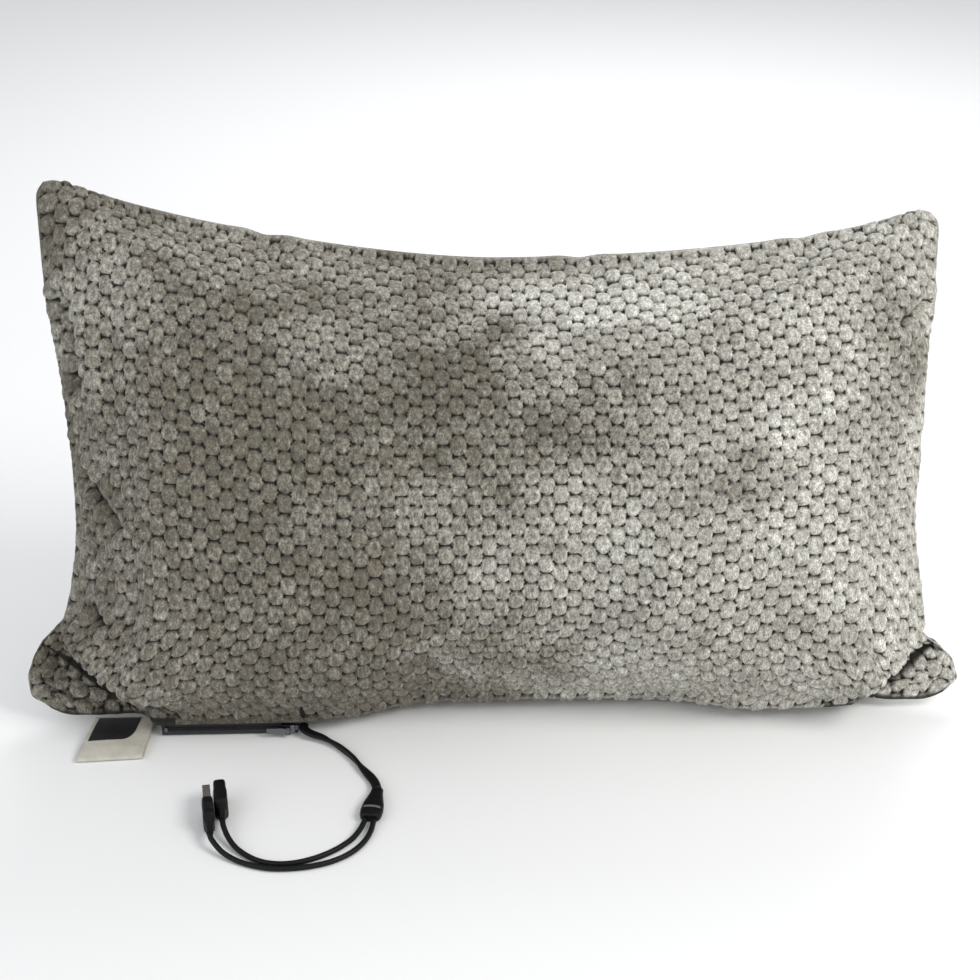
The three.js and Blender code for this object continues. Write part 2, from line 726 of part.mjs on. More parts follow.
function makePlug() {
  const group = connectorGroup(plugBack);
  const wide = plugBodyWidth / 2;
  const tall = bodyHeight / 2;
  const boot = plugBootLength;
  const end = boot + plugBodyLength;
  const sections = [
    [0, branchDiameter / 2 + 0.5, branchDiameter / 2 + 0.6, connectorZ],
    [boot - 2.5, branchDiameter / 2 + 0.8, branchDiameter / 2 + 1.6, connectorZ],
    [boot, wide - 0.7, tall - 2.4, connectorZ],
    [boot + 2.5, wide - 0.1, tall - 0.4, connectorZ],
    [boot + 6, wide, tall, connectorZ],
    [end - 1, wide, tall, connectorZ],
    [end, wide - 0.5, tall - 0.5, connectorZ],
  ];
  add("plug_body", loft(sections, 20, 0.4), mouldBlack, group);
  const y0 = end + fitGap;
  add("plug_shell", sleeveTube(shellWidth, shellHeight, y0, y0 + shellReach), nickel, group);
  const inner = shellWidth / 2 - shellWall;
  const half = shellHeight / 2 - shellWall - fitGap;
  const tongueX = -inner + fitGap;
  const low = [tongueX, y0, connectorZ - half];
  const high = [tongueX + plugTongueWidth, y0 + shellReach - plugTongueInset, connectorZ + half];
  add("plug_tongue", block(low, high), tongueWhite, group);
  addContacts("plug", high[0] + contactLift, y0 + plugContactInset, group);
}

function makeSocket() {
  const group = connectorGroup(socketBack);
  const wide = socketBodyWidth / 2;
  const tall = bodyHeight / 2;
  const boot = socketBootLength;
  const end = boot + socketBodyLength;
  const sections = [
    [0, branchDiameter / 2 + 0.5, branchDiameter / 2 + 0.6, connectorZ],
    [boot - 2.5, branchDiameter / 2 + 0.9, branchDiameter / 2 + 1.8, connectorZ],
    [boot, wide - 0.8, tall - 2, connectorZ],
    [boot + 2.5, wide, tall - 0.3, connectorZ],
    [end - 7, wide, tall, connectorZ],
    [end - 5.5, wide - 0.35, tall - 0.25, connectorZ],
    [end, wide - 0.35, tall - 0.25, connectorZ],
  ];
  const w = socketShellWidth / 2;
  const h = socketShellHeight / 2;
  const y0 = end - socketDepth - fitGap;
  const pocket = block(
    [-w - fitGap / 2, y0, connectorZ - h - fitGap / 2],
    [w + fitGap / 2, end + 1, connectorZ + h + fitGap / 2],
  );
  add("socket_body", cut(loft(sections, 20, 0.3), pocket), mouldBlack, group);
  const sleeve = sleeveTube(socketShellWidth, socketShellHeight, y0 + fitGap, end - socketSleeveInset);
  add("socket_shell", sleeve, nickel, group);
  const tongueHalf = socketTongueWidth / 2;
  const low = [-tongueHalf, y0 + fitGap, connectorZ - h + socketTongueMargin];
  const high = [tongueHalf, end - socketTongueInset, connectorZ + h - socketTongueMargin];
  add("socket_tongue", block(low, high), mouldBlack, group);
  addContacts("socket", tongueHalf + contactLift, y0 + socketContactInset, group);
}

makeCovers();
makeCasing();
makeFilling();
makePad();
makeZip();
makeSlider();
makeLabel();
makeCable();
makePlug();
makeSocket();

export default part;
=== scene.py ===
# A USB-heated throw pillow in honeycomb plush, standing on its long bottom edge.
# Metres, +Z up, +X along the width, the front faces -Y.
import math

import bpy
import numpy as np
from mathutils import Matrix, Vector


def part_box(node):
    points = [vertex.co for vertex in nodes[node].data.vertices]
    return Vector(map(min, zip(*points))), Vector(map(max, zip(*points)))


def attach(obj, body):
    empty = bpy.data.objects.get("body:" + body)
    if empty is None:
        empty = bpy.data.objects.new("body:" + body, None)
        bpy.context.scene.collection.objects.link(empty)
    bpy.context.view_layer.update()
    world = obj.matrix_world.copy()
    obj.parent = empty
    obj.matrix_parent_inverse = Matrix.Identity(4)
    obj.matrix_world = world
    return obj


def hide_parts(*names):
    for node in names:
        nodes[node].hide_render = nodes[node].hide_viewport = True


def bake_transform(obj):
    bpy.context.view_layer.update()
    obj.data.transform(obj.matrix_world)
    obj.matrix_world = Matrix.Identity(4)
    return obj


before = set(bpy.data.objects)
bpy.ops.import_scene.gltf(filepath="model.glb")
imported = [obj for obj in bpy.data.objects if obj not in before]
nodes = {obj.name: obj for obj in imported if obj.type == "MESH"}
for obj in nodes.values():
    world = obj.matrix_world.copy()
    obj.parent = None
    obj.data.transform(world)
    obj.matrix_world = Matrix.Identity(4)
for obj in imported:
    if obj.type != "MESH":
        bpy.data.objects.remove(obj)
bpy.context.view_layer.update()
millimetre = 0.001
print("frame loaded,", len(nodes), "nodes")


# camera, light and floor
cameraView = {
    "place": (-0.040, -0.991, 0.672),
    "pitch": 28.0,  # degrees down
    "yaw": 1.9,  # degrees to the right
    "lens": 67.96,
}
studio = {
    "sky": (0.93, 0.95, 0.97),
    "skyStrength": 0.62,
    "floorColour": (0.97, 0.97, 0.97),
    "floorReach": 6,
    # name, place, aimed at, size, watts, colour
    "lamps": [
        ("keyLamp", (1.15, -0.75, 1.35), (0.02, 0.0, 0.14), 0.9, 17.0, (1.0, 0.985, 0.96)),
        ("fillLamp", (-1.2, -1.1, 0.9), (-0.05, 0.0, 0.12), 1.3, 5.5, (0.96, 0.98, 1.0)),
        ("backLamp", (0.3, 1.3, 1.2), (0.0, 0.0, 0.2), 1.0, 9.0, (1.0, 1.0, 1.0)),
    ],
}


def makeCamera(settings):
    camera = bpy.data.objects.new("camera", bpy.data.cameras.new("camera"))
    bpy.context.scene.collection.objects.link(camera)
    camera.data.lens = settings["lens"]
    camera.data.sensor_width = 36
    camera.data.clip_start = 0.01
    camera.location = settings["place"]
    camera.rotation_euler = (math.radians(90 - settings["pitch"]), 0, math.radians(-settings["yaw"]))
    bpy.context.scene.camera = camera


def makeLamps(settings):
    for name, place, target, size, watts, colour in settings["lamps"]:
        lamp = bpy.data.lights.new(name, "AREA")
        lamp.shape = "DISK"
        lamp.size = size
        lamp.energy = watts
        lamp.color = colour
        holder = bpy.data.objects.new(name, lamp)
        bpy.context.scene.collection.objects.link(holder)
        holder.location = place
        aim = np.array(target) - np.array(place)
        sideways = math.hypot(aim[0], aim[1])
        holder.rotation_euler = (math.atan2(sideways, -aim[2]), 0, math.atan2(-aim[0], aim[1]))
    world = bpy.data.worlds.new("studio")
    world.use_nodes = True
    background = world.node_tree.nodes["Background"]
    background.inputs["Color"].default_value = (*settings["sky"], 1)
    background.inputs["Strength"].default_value = settings["skyStrength"]
    bpy.context.scene.world = world


makeCamera(cameraView)
makeLamps(studio)
bpy.context.scene.view_settings.view_transform = "Standard"
print("camera and lamps made")


# shader maths
class Value:
    # a socket that takes part in Python expressions
    def __init__(self, paint, socket):
        self.paint = paint
        self.socket = socket

    def maths(self, operation, *others):
        inputs = dict(enumerate((self, *others)))
        return self.paint.node("ShaderNodeMath", {"operation": operation}, inputs)

    def __add__(self, other):
        return self.maths("ADD", other)

    def __mul__(self, other):
        return self.maths("MULTIPLY", other)

    def __sub__(self, other):
        return self.maths("SUBTRACT", other)

    def __rsub__(self, other):
        return self.paint.node("ShaderNodeMath", {"operation": "SUBTRACT"}, {0: other, 1: self})

    __radd__ = __add__
    __rmul__ = __mul__

    def smooth(self, low, high):
        # 0 below low, 1 above high, an S-curve between
        settings = {"interpolation_type": "SMOOTHSTEP"}
        inputs = {"Value": self, "From Min": low, "From Max": high}
        return self.paint.node("ShaderNodeMapRange", settings, inputs)


class Paint:
    # one material; constants such as sheen are set straight on the shader's sockets
    def __init__(self, name, **constants):
        self.material = bpy.data.materials.new(name)
        self.material.use_nodes = True
        self.tree = self.material.node_tree
        self.shader = self.tree.nodes["Principled BSDF"]
        for socket, value in constants.items():
            self.shader.inputs[socket.replace("_", " ")].default_value = value

    def node(self, kind, settings, inputs, output=0):
        made = self.tree.nodes.new(kind)
        for key, value in settings.items():
            setattr(made, key, value)
        for key, value in inputs.items():
            if isinstance(value, Value):
                self.tree.links.new(value.socket, made.inputs[key])
            else:
                made.inputs[key].default_value = value
        return Value(self, made.outputs[output])

    def place(self, scale=(1, 1, 1)):
        point = self.node("ShaderNodeTexCoord", {}, {}, "Object")
        return self.node("ShaderNodeMapping", {}, {"Vector": point, "Scale": scale})

    def attribute(self, name):
        return self.node("ShaderNodeAttribute", {"attribute_name": name}, {}, "Fac")

    def noise(self, scale, detail=2.0, roughness=0.5, vector=None):
        inputs = {"Scale": scale, "Detail": detail, "Roughness": roughness}
        inputs["Vector"] = vector or self.place()
        return self.node("ShaderNodeTexNoise", {}, inputs)

    def threads(self, pitch, direction):
        # light and dark bands, one to each pitch in metres
        settings = {"wave_type": "BANDS", "bands_direction": direction}
        inputs = {"Scale": 1 / pitch / 6.28, "Distortion": 0.0, "Vector": self.place()}
        return self.node("ShaderNodeTexWave", settings, inputs)

    def mix(self, factor, first, second, blend="MIX"):
        # colours are sockets 6 and 7 of a Mix node, and its result is output 2
        colour = [c if isinstance(c, Value) else (*c, 1) for c in (first, second)]
        settings = {"data_type": "RGBA", "blend_type": blend}
        return self.node("ShaderNodeMix", settings, {0: factor, 6: colour[0], 7: colour[1]}, 2)

    def feed(self, socket, value):
        self.tree.links.new(value.socket, self.shader.inputs[socket])

    def bump(self, height, distance, strength=1.0):
        inputs = {"Height": height, "Distance": distance, "Strength": strength}
        self.feed("Normal", self.node("ShaderNodeBump", {}, inputs))


def dress(piece, paint):
    piece.data.materials.clear()
    piece.data.materials.append(paint.material)


def standIn(piece, slot, *replaced):
    # a piece of the pillow body, shown for the CAD nodes of those names
    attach(piece, "pillow")
    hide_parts(*replaced)


# mesh helpers
def meshPiece(name, points, faces, smooth=True):
    mesh = bpy.data.meshes.new(name)
    faces = faces.tolist() if isinstance(faces, np.ndarray) else faces
    mesh.from_pydata(np.asarray(points).reshape(-1, 3).tolist(), [], faces)
    mesh.polygons.foreach_set("use_smooth", np.full(len(mesh.polygons), smooth))
    mesh.update()
    piece = bpy.data.objects.new(name, mesh)
    bpy.context.scene.collection.objects.link(piece)
    return piece


def gridFaces(index):
    # quads over a grid of vertex numbers
    a, b, c, d = index[:-1, :-1], index[:-1, 1:], index[1:, 1:], index[1:, :-1]
    return np.stack([a, b, c, d], -1).reshape(-1, 4)


def ringFaces(rings, sides):
    # the faces of a row of rings, closed at both ends
    index = np.arange(rings * sides).reshape(rings, sides)
    faces = gridFaces(np.concatenate([index, index[:, :1]], 1)).tolist()
    return faces + [index[0][::-1].tolist(), index[-1].tolist()]


def joinPanels(front, back):
    # one closed skin of two grids that share their rim, and the vertex numbers of each grid
    rows, columns = front.shape[:2]
    inner = (slice(1, -1), slice(1, -1))
    frontIndex = np.arange(rows * columns).reshape(rows, columns)
    backIndex = frontIndex.copy()
    fresh = np.arange((rows - 2) * (columns - 2)).reshape(rows - 2, columns - 2)
    backIndex[inner] = frontIndex.size + fresh
    points = np.zeros((backIndex.max() + 1, 3))
    points[frontIndex] = front
    points[backIndex[inner]] = back[inner]
    faces = np.vstack([gridFaces(frontIndex), gridFaces(backIndex)[:, ::-1]])
    return points, faces, frontIndex, backIndex


def runLength(points):
    # distance of each point along its row
    return np.concatenate([[0], np.cumsum(np.linalg.norm(np.diff(points, axis=0), axis=1))])


def readOff(at, where, points):
    # the points' coordinates at other places along their row
    return np.stack([np.interp(at, where, points[:, k]) for k in range(3)], -1)


def smoothStep(value, low, high):
    t = np.clip((value - low) / (high - low), 0, 1)
    return t * t * (3 - 2 * t)


def splineWeights(count, fine):
    # Catmull-Rom weights that carry `count` even samples to `fine` even samples
    place = np.linspace(0, count - 1, fine)
    cell = np.minimum(place.astype(int), count - 2)
    t = place - cell
    shares = [
        0.5 * (-t + 2 * t**2 - t**3),
        0.5 * (2 - 5 * t**2 + 3 * t**3),
        0.5 * (t + 4 * t**2 - 3 * t**3),
        0.5 * (-(t**2) + t**3),
    ]
    weights = np.zeros((fine, count))
    rows = np.arange(fine)
    for k, share in enumerate(shares):
        column = cell + k - 1
        # beyond an end the line goes on straight: p(-1) = 2 p(0) - p(1)
        below = column < 0
        above = column > count - 1
        inside = ~(below | above)
        np.add.at(weights, (rows[inside], column[inside]), share[inside])
        np.add.at(weights, (rows[below], 0), 2 * share[below])
        np.add.at(weights, (rows[below], 1), -share[below])
        np.add.at(weights, (rows[above], count - 1), 2 * share[above])
        np.add.at(weights, (rows[above], count - 2), -share[above])
    return weights


def smoothPath(points, count):
    # centripetal Catmull-Rom through given points, resampled at even spacing
    p = np.asarray(points, float)
    p = np.vstack([2 * p[0] - p[1], p, 2 * p[-1] - p[-2]])
    knots = np.concatenate([[0], np.cumsum(np.sqrt(np.linalg.norm(np.diff(p, axis=0), axis=1)))])
    pieces = []
    for i in range(1, len(p) - 2):
        t = np.linspace(knots[i], knots[i + 1], 24, endpoint=False)[:, None]
        k = knots[i - 1 : i + 3]
        a = [
            ((k[j + 1] - t) * p[i - 1 + j] + (t - k[j]) * p[i + j]) / (k[j + 1] - k[j])
            for j in range(3)
        ]
        b = [((k[j + 2] - t) * a[j] + (t - k[j]) * a[j + 1]) / (k[j + 2] - k[j]) for j in range(2)]
        pieces.append(((k[2] - t) * b[0] + (t - k[1]) * b[1]) / (k[2] - k[1]))
    dense = np.vstack([*pieces, p[-2:-1]])
    length = runLength(dense)
    return readOff(np.linspace(0, length[-1], count), length, dense), length[-1]


# cords, laid out first
cableSizes = {
    "trunkWidth": 0.0056,
    "trunkThickness": 0.0030,
    "branchDiameter": 0.0032,
    "grooveDepth": 0.24,  # between the trunk's two cores, as a share of its thickness
    "grooveWidth": 0.08,  # as a share of its width
    "sideSquare": 0.62,  # 1 is an ellipse, less is squarer
    "roll": 0.42,  # half turns that the trunk leans over in between its flat ends
    "rollOver": (0.12, 0.42),  # shares of the length where it leans over, and back
    "rollBack": (0.55, 0.85),
}
trunkRoute = [
    (-124, -44, 5.5),
    (-123.5, -48, 5.1),
    (-119.5, -51.5, 4.4),
    (-112, -54.5, 3.2),
    (-104, -60.5, 2.2),
    (-93.5, -73, 1.9),
    (-85.5, -87, 1.9),
    (-79.4, -99, 2.3),
    (-77.5, -107.1, 3.5),
]
socketRoute = [
    (-83.6, -136.2, 3.4),
    (-86.2, -143.5, 2.5),
    (-90.3, -151, 1.8),
    (-96, -157.5, 1.8),
    (-103, -163.3, 1.8),
    (-112, -168.4, 1.8),
    (-122, -171.7, 1.8),
    (-132, -172.3, 1.8),
    (-141.5, -169.8, 1.8),
    (-150, -164.2, 1.9),
    (-156.8, -157.4, 2.7),
    (-161.7, -149.8, 4.7),
    (-164.3, -143.4, 6.9),
    (-165.1, -139.3, 7.5),
]
plugRoute = [
    (-78.7, -136.9, 3.4),
    (-80.2, -145.5, 2.4),
    (-84.4, -155.5, 1.8),
    (-91.3, -164.2, 1.8),
    (-100.5, -170.6, 1.8),
    (-111.5, -174.6, 1.8),
    (-124, -176.4, 1.8),
    (-136, -176, 1.8),
    (-147, -172.7, 1.8),
    (-156, -168.2, 2.1),
    (-163.5, -163, 3.7),
    (-168.3, -157.8, 6),
    (-170.4, -154.6, 7.2),
    (-171, -152.1, 7.5),
]


def pathFrame(path):
    # level across the path, and square to both, at each ring
    along = np.gradient(path, axis=0)
    along /= np.linalg.norm(along, axis=1)[:, None]
    across = np.cross(along, (0, 0, 1))
    across /= np.linalg.norm(across, axis=1)[:, None]
    return across, np.cross(across, along)


def tubePiece(name, path, section, turn, sides=20):
    # section(angle) gives two offsets in metres; each ring is turned by its own angle `turn`
    angle = np.linspace(0, 2 * np.pi, sides, endpoint=False)
    wide, tall = section(angle)
    across, up = pathFrame(path)
    turn = np.asarray(turn)[:, None]
    a = wide * np.cos(turn) - tall * np.sin(turn)
    b = wide * np.sin(turn) + tall * np.cos(turn)
    points = path[:, None] + a[..., None] * across[:, None] + b[..., None] * up[:, None]
    points[..., 2] = points[..., 2].clip(0.0001)  # a cord rests on the ground, never below it
    return meshPiece(name, points, [face[::-1] for face in ringFaces(len(path), sides)])


def twinSection(sizes):
    # two cores side by side: w = half width cos(a) across and half thickness |sin(a)|^square
    # high, times 1 - depth exp(-(w / groove)^2) for the groove between them
    def section(angle):
        wide = 0.5 * sizes["trunkWidth"] * np.cos(angle)
        groove = sizes["grooveWidth"] * sizes["trunkWidth"]
        dip = 1 - sizes["grooveDepth"] * np.exp(-((wide / groove) ** 2))
        high = np.sign(np.sin(angle)) * np.abs(np.sin(angle)) ** sizes["sideSquare"]
        return wide, 0.5 * sizes["trunkThickness"] * high * dip

    return section


def roundSection(diameter):
    return lambda angle: (0.5 * diameter * np.cos(angle), 0.5 * diameter * np.sin(angle))


def makeCords(sizes):
    # each cord with its path, length and diameter, what its far end is and what rides on it
    path, length = smoothPath(np.array(trunkRoute) * millimetre, 90)
    share = np.linspace(0, 1, len(path))
    # flat at both ends, nearly on edge in between where the cable rolls over
    over = smoothStep(share, *sizes["rollOver"]) * (1 - smoothStep(share, *sizes["rollBack"]))
    roll = np.pi * sizes["roll"] * over
    trunk = tubePiece("cable_trunk_flat", path, twinSection(sizes), roll)
    made = {"trunk": (trunk, path, length, sizes["trunkWidth"], "fitting", ["splitter_moulding"])}
    for name, route, end in (("socket", socketRoute, "connector"), ("plug", plugRoute, "plug")):
        path, length = smoothPath(np.array(route) * millimetre, 150)
        section = roundSection(sizes["branchDiameter"])
        piece = tubePiece(f"cable_to_{name}_cord", path, section, np.zeros(len(path)))
        ridden = [f"{name}_moulding", f"{name}_shell", f"{name}_tongue"]
        ridden += [f"{name}_contact_{k}" for k in range(1, 5)]
        made[f"to_{name}"] = (piece, path, length, sizes["branchDiameter"], end, ridden)
    return made


cords = makeCords(cableSizes)
print("cords laid out,", ", ".join("%s %.3f m" % (name, cord[2]) for name, cord in cords.items()))


# the filled pillow
pillow = {
    "halfLeft": 279,  # middle to a corner tip
    "halfRight": 273,
    "seamLift": 5,
    "seamMidY": -28,
    "lobeDepth": 16,
    "lobeStart": (41, 105),  # left; the right one starts further out
    "lobeStartRight": (92, 158),
    "lobeFade": 10,  # how fast that difference fades upwards
    "tipRound": 5,  # how far the corner tips are rounded off, and the share where that starts
    "tipStart": (0.95, 0.92),
    "seamRaise": 2.5,  # the seam's middle stands this much above its ears
    "earSetBack": 11,
    "earStart": (212.5, 226),
    "topSeamY": 76,
    "topSeamZ": 269,
    "riseLeft": (53, 1.6),  # height of the corner above the middle, and how late it rises
    "riseRight": (27, 2.3),
    "frontBulge": 60,
    "endFill": 0.42,  # powers of the bulge, towards the side seams and the long seams
    "edgeFill": 0.7,
    "heelY": 42,
    "backY": 84,
    "baseSink": 9,
    "flatWidth": 600,
    "flatHeight": 350,
    "clothColumns": 80,
    "clothRows": 47,
    "clothFrames": 20,
    "earSeamPaintedShade": (0.9, 2.4),  # how dark the shade painted along the ears' bottom seam is, and how far up that reaches
    "groundGap": 0.25,  # the cover keeps this height over the ground
    "seamPlay": 3.0,  # how far the cloth may move a point, at the seam and in the middle
    "panelPlay": 9.0,
}
clothSettings = {
    "quality": 6,
    "mass": 0.25,
    "tension_stiffness": 12,
    "compression_stiffness": 12,
    "shear_stiffness": 6,
    "bending_stiffness": 0.3,
    "air_damping": 2,
    "use_pressure": True,
    "uniform_pressure_force": 3.2,
}
# the side seams pull in between the corners and stand out at the ears: height, pull
leftPull = [
    (-1.0, -7),
    (-0.92, -15),
    (-0.85, -17),
    (-0.77, -13),
    (-0.7, -6),
    (-0.62, 5),
    (-0.55, 12.5),
    (-0.47, 15.5),
    (-0.17, 15.5),
    (0.0, 14.5),
    (0.21, 11.5),
    (0.43, 7.5),
    (0.65, 2.5),
    (1.0, 0),
]
rightPull = [
    (-1.0, -10),
    (-0.91, -15),
    (-0.83, -12),
    (-0.75, 1),
    (-0.66, 11.5),
    (-0.55, 12.5),
    (-0.2, 12),
    (0.0, 10),
    (0.22, 7.5),
    (0.4, 6),
    (0.55, 4.5),
    (0.71, 2),
    (1.0, 0),
]


def sewnPlane(s, t, p):
    # x = s half width - s^4 pull at this height, y and z straight from the bottom seam to the top
    half = np.where(s < 0, p["halfLeft"], p["halfRight"])
    far = np.abs(s) * half
    bottom = (
        p["seamMidY"]
        - p["lobeDepth"] * smoothStep(far, *p["lobeStart"])
        + p["earSetBack"] * smoothStep(far, *p["earStart"])
    )
    pull = np.where(s < 0, np.interp(t, *np.array(leftPull).T), np.interp(t, *np.array(rightPull).T))
    left, leftPower = p["riseLeft"]
    right, rightPower = p["riseRight"]
    rise = np.where(s < 0, left * np.abs(s) ** leftPower, right * np.abs(s) ** rightPower)
    up = (t + 1) / 2
    x = s * half - np.sign(s) * np.abs(s) ** 4 * pull
    later = smoothStep(far, *p["lobeStart"]) - smoothStep(far, *p["lobeStartRight"])
    y = bottom + (p["topSeamY"] - bottom) * up
    y = y + np.where(s > 0, p["lobeDepth"] * later * (1 - up) ** p["lobeFade"], 0)
    lift = p["seamLift"] + p["seamRaise"] * (1 - smoothStep(far, *p["earStart"]))
    z = lift + (p["topSeamZ"] + rise - lift) * up
    startX, startZ = p["tipStart"]
    tip = p["tipRound"] * smoothStep(np.abs(s), startX, 1) * smoothStep(np.abs(t), startZ, 1)
    return np.stack([x - np.sign(s) * tip, y, z - np.sign(t) * tip], -1)


def panelSurface(side, s, t, p):
    # front: plane + towards the front * bulge (1 - t^2)^edgeFill (1 - s^2)^endFill
    # back: plane + (back section - plane in the middle) * (1 - s^2)^endFill
    plane = sewnPlane(s, t, p)
    fullness = (1 - s * s).clip(0) ** p["endFill"]
    lean = math.atan2(p["topSeamY"] - p["seamMidY"], p["topSeamZ"] - p["seamLift"])
    if side == "front":
        towards = np.array([0, -math.cos(lean), math.sin(lean)])
        bulge = p["frontBulge"] * (1 - t * t).clip(0) ** p["edgeFill"] * fullness
        return plane + towards * bulge[..., None]
    base, heel, top, rear = p["baseSink"], p["heelY"], p["topSeamZ"], p["backY"]
    outline = [
        (0, p["seamMidY"], p["seamLift"]),
        (0, p["seamMidY"] + 0.3 * (heel - p["seamMidY"]), -base),
        (0, heel - 12, -base),
        (0, heel + 20, 0.07 * top),
        (0, rear - 3, 0.28 * top),
        (0, rear, 0.55 * top),
        (0, rear - 1, 0.8 * top),
        (0, p["topSeamY"], top),
    ]
    section, _ = smoothPath(outline, 400)
    steps = np.arange(len(section))
    share = (t + 1) / 2 * steps[-1]
    at = readOff(share, steps, section)
    return plane + (at - sewnPlane(0 * s, t, p)) * fullness[..., None]


def evenRows(grid, count):
    # each row resampled at even spacing along itself
    rows = []
    for row in grid:
        length = runLength(row)
        rows.append(readOff(np.linspace(0, length[-1], count), length, row))
    return np.array(rows)


def evenPanel(side, p):
    # the panel as a grid whose cells are nearly square, as its cloth is
    fine = 321
    share = np.sin(np.linspace(-np.pi / 2, np.pi / 2, fine))
    s, t = np.meshgrid(share, share)
    grid = panelSurface(side, s, t, p)
    for _ in range(2):
        grid = evenRows(grid, fine)
        grid = evenRows(grid.transpose(1, 0, 2), fine).transpose(1, 0, 2)
    grid = evenRows(grid, p["clothColumns"] + 1)
    return evenRows(grid.transpose(1, 0, 2), p["clothRows"] + 1).transpose(1, 0, 2)


def flatGrid(p, columns, rows):
    width = np.linspace(-p["flatWidth"] / 2, p["flatWidth"] / 2, columns)
    height = np.linspace(-p["flatHeight"] / 2, p["flatHeight"] / 2, rows)
    return np.meshgrid(width, height)


def inflate(front, back, p):
    # cloth whose rest shape is the two flat panels, blown up a little and stopped by its play
    points, faces, frontIndex, backIndex = joinPanels(front, back)
    body = meshPiece("cloth_form", points * millimetre, faces)
    body.shape_key_add(name="filled")
    flat = body.shape_key_add(name="flat")
    across, up = flatGrid(p, p["clothColumns"] + 1, p["clothRows"] + 1)
    panel = np.stack([across, 0 * across, up], -1)
    cut, *_ = joinPanels(panel, panel)
    flat.data.foreach_set("co", (cut * millimetre).ravel())
    flat.value = 0
    cloth = body.modifiers.new("cloth", "CLOTH")
    for key, value in clothSettings.items():
        setattr(cloth.settings, key, value)
    cloth.settings.rest_shape_key = flat
    cloth.settings.effector_weights.gravity = 0
    cloth.collision_settings.use_collision = False
    cloth.point_cache.frame_start = 1
    cloth.point_cache.frame_end = p["clothFrames"]
    for step in range(1, p["clothFrames"] + 1):
        bpy.context.scene.frame_set(step)
    evaluated = body.evaluated_get(bpy.context.evaluated_depsgraph_get())
    moved = np.zeros(len(points) * 3, np.float32)
    evaluated.data.vertices.foreach_get("co", moved)
    bpy.context.scene.frame_set(1)
    moved = moved.reshape(-1, 3) / millimetre
    bpy.data.objects.remove(body)
    move = moved - points
    far = np.linalg.norm(move, axis=1)
    play = np.full(len(points), p["panelPlay"])
    edge = np.ones_like(frontIndex, bool)
    edge[1:-1, 1:-1] = False
    play[frontIndex[edge]] = p["seamPlay"]
    move *= (play * np.tanh(far / play) / np.maximum(far, 1e-6))[:, None]
    print("cloth moved points by up to %.1f mm, %.1f mm in the mean" % (far.max(), far.mean()))
    points = points + move
    return points[frontIndex], points[backIndex]


frontPanel = evenPanel("front", pillow)
backPanel = evenPanel("back", pillow)
frontPanel, backPanel = inflate(frontPanel, backPanel, pillow)
print("panels filled")


# folds
# lines in x and z that part the full body from the two flat ears at the bottom corners: two ends,
# how far the body laps over the ear and stands out, how far the ear sinks under it, and how far
# past the line the gap with its painted shadow lies and that shadow's half width
earFolds = [
    ((-290, 84), (-194, 14), 11, 7, 5, 25.5, 3.4),
    ((284, 76), (180, 10), 12, 8, 7, 25.5, 6.5),
]
foldShape = {
    "steep": 7,  # width of the lap's edge, and how far behind it the cloth still follows
    "spread": 44,
    "standSpread": 0.7,  # the standing out ends sooner, at this share of the spread
    "sinkWidth": 6,
    "starts": (0, 0.22),  # shares of the line over which the lap starts and ends
    "ends": (0.5, 0.95),
    "shadowStarts": (0.12, 0.42),  # the same for the painted shadow in the gap
    "shadowEnds": (0.5, 0.98),
    "bendFrom": 0.66,  # share of the line where the gap bends back to it, and by how much
    "bend": 35,
    "thinnest": 0.3,  # the painted shadow is left out where it is thinner than twice this
    "flatten": (-3, 9),  # distances from the line between which the ear turns flat
    "flatness": (0.5, 0.22),  # share of the thickness that the front and the back give up there
}
# creases in the flat panel's own millimetres: two ends, depth, half width, darkness of the shade
# painted in the dip
creases = [
    ((-283, 100), (-276, 52), 8, 6, 0.98),
    ((-262, 100), (-257, 40), -3, 7, 0),
    ((-278, -6), (-252, -30), 5, 5, 0.6),
    ((-272, -80), (-264, -88), 5, 3.5, 0.98),
    ((-288, -152), (-262, -168), 5, 4, 0.98),
    ((292, 112), (268, 99), 6, 5, 0.75),
    ((292, 20), (272, -10), 2.5, 7, 0.2),
    ((-150, 172), (-132, 140), 2.5, 8, 0),
    ((60, 172), (72, 146), 2.0, 8, 0),
    ((210, 170), (196, 140), 2.5, 8, 0),
]


def surfaceNormals(grid, outward):
    across = np.gradient(grid, axis=1)
    up = np.gradient(grid, axis=0)
    normal = np.cross(across, up) * outward
    return normal / np.maximum(np.linalg.norm(normal, axis=-1), 1e-9)[..., None]


def alongLine(across, up, start, end):
    # share along the line, and signed distance from it
    direction = np.array(end, float) - start
    length = np.linalg.norm(direction)
    direction /= length
    dx, dz = across - start[0], up - start[1]
    share = (dx * direction[0] + dz * direction[1]) / length
    distance = dx * -direction[1] + dz * direction[0]
    return share, distance


def fromFold(grid, start, end):
    # distance from the fold line towards the body, and share of the way along it
    x, z = grid[..., 0] - start[0], grid[..., 2] - start[1]
    runX, runZ = end[0] - start[0], end[1] - start[1]
    length = math.hypot(runX, runZ)
    return (x * runZ - z * runX) / length * np.sign(start[0]), (x * runX + z * runZ) / length**2


def flattenEars(front, back):
    # beyond a fold line each panel moves towards the other by its share of the gap between them;
    # kept runs from 1 in the body to 0 in an ear
    kept = np.ones(front.shape[:2])
    for start, end, *_ in earFolds:
        distance, _ = fromFold(front, start, end)
        kept = kept * smoothStep(distance, *foldShape["flatten"])
    gap = (back - front) * (1 - kept)[..., None]
    fromFront, fromBack = foldShape["flatness"]
    return front + gap * fromFront, back - gap * fromBack, kept


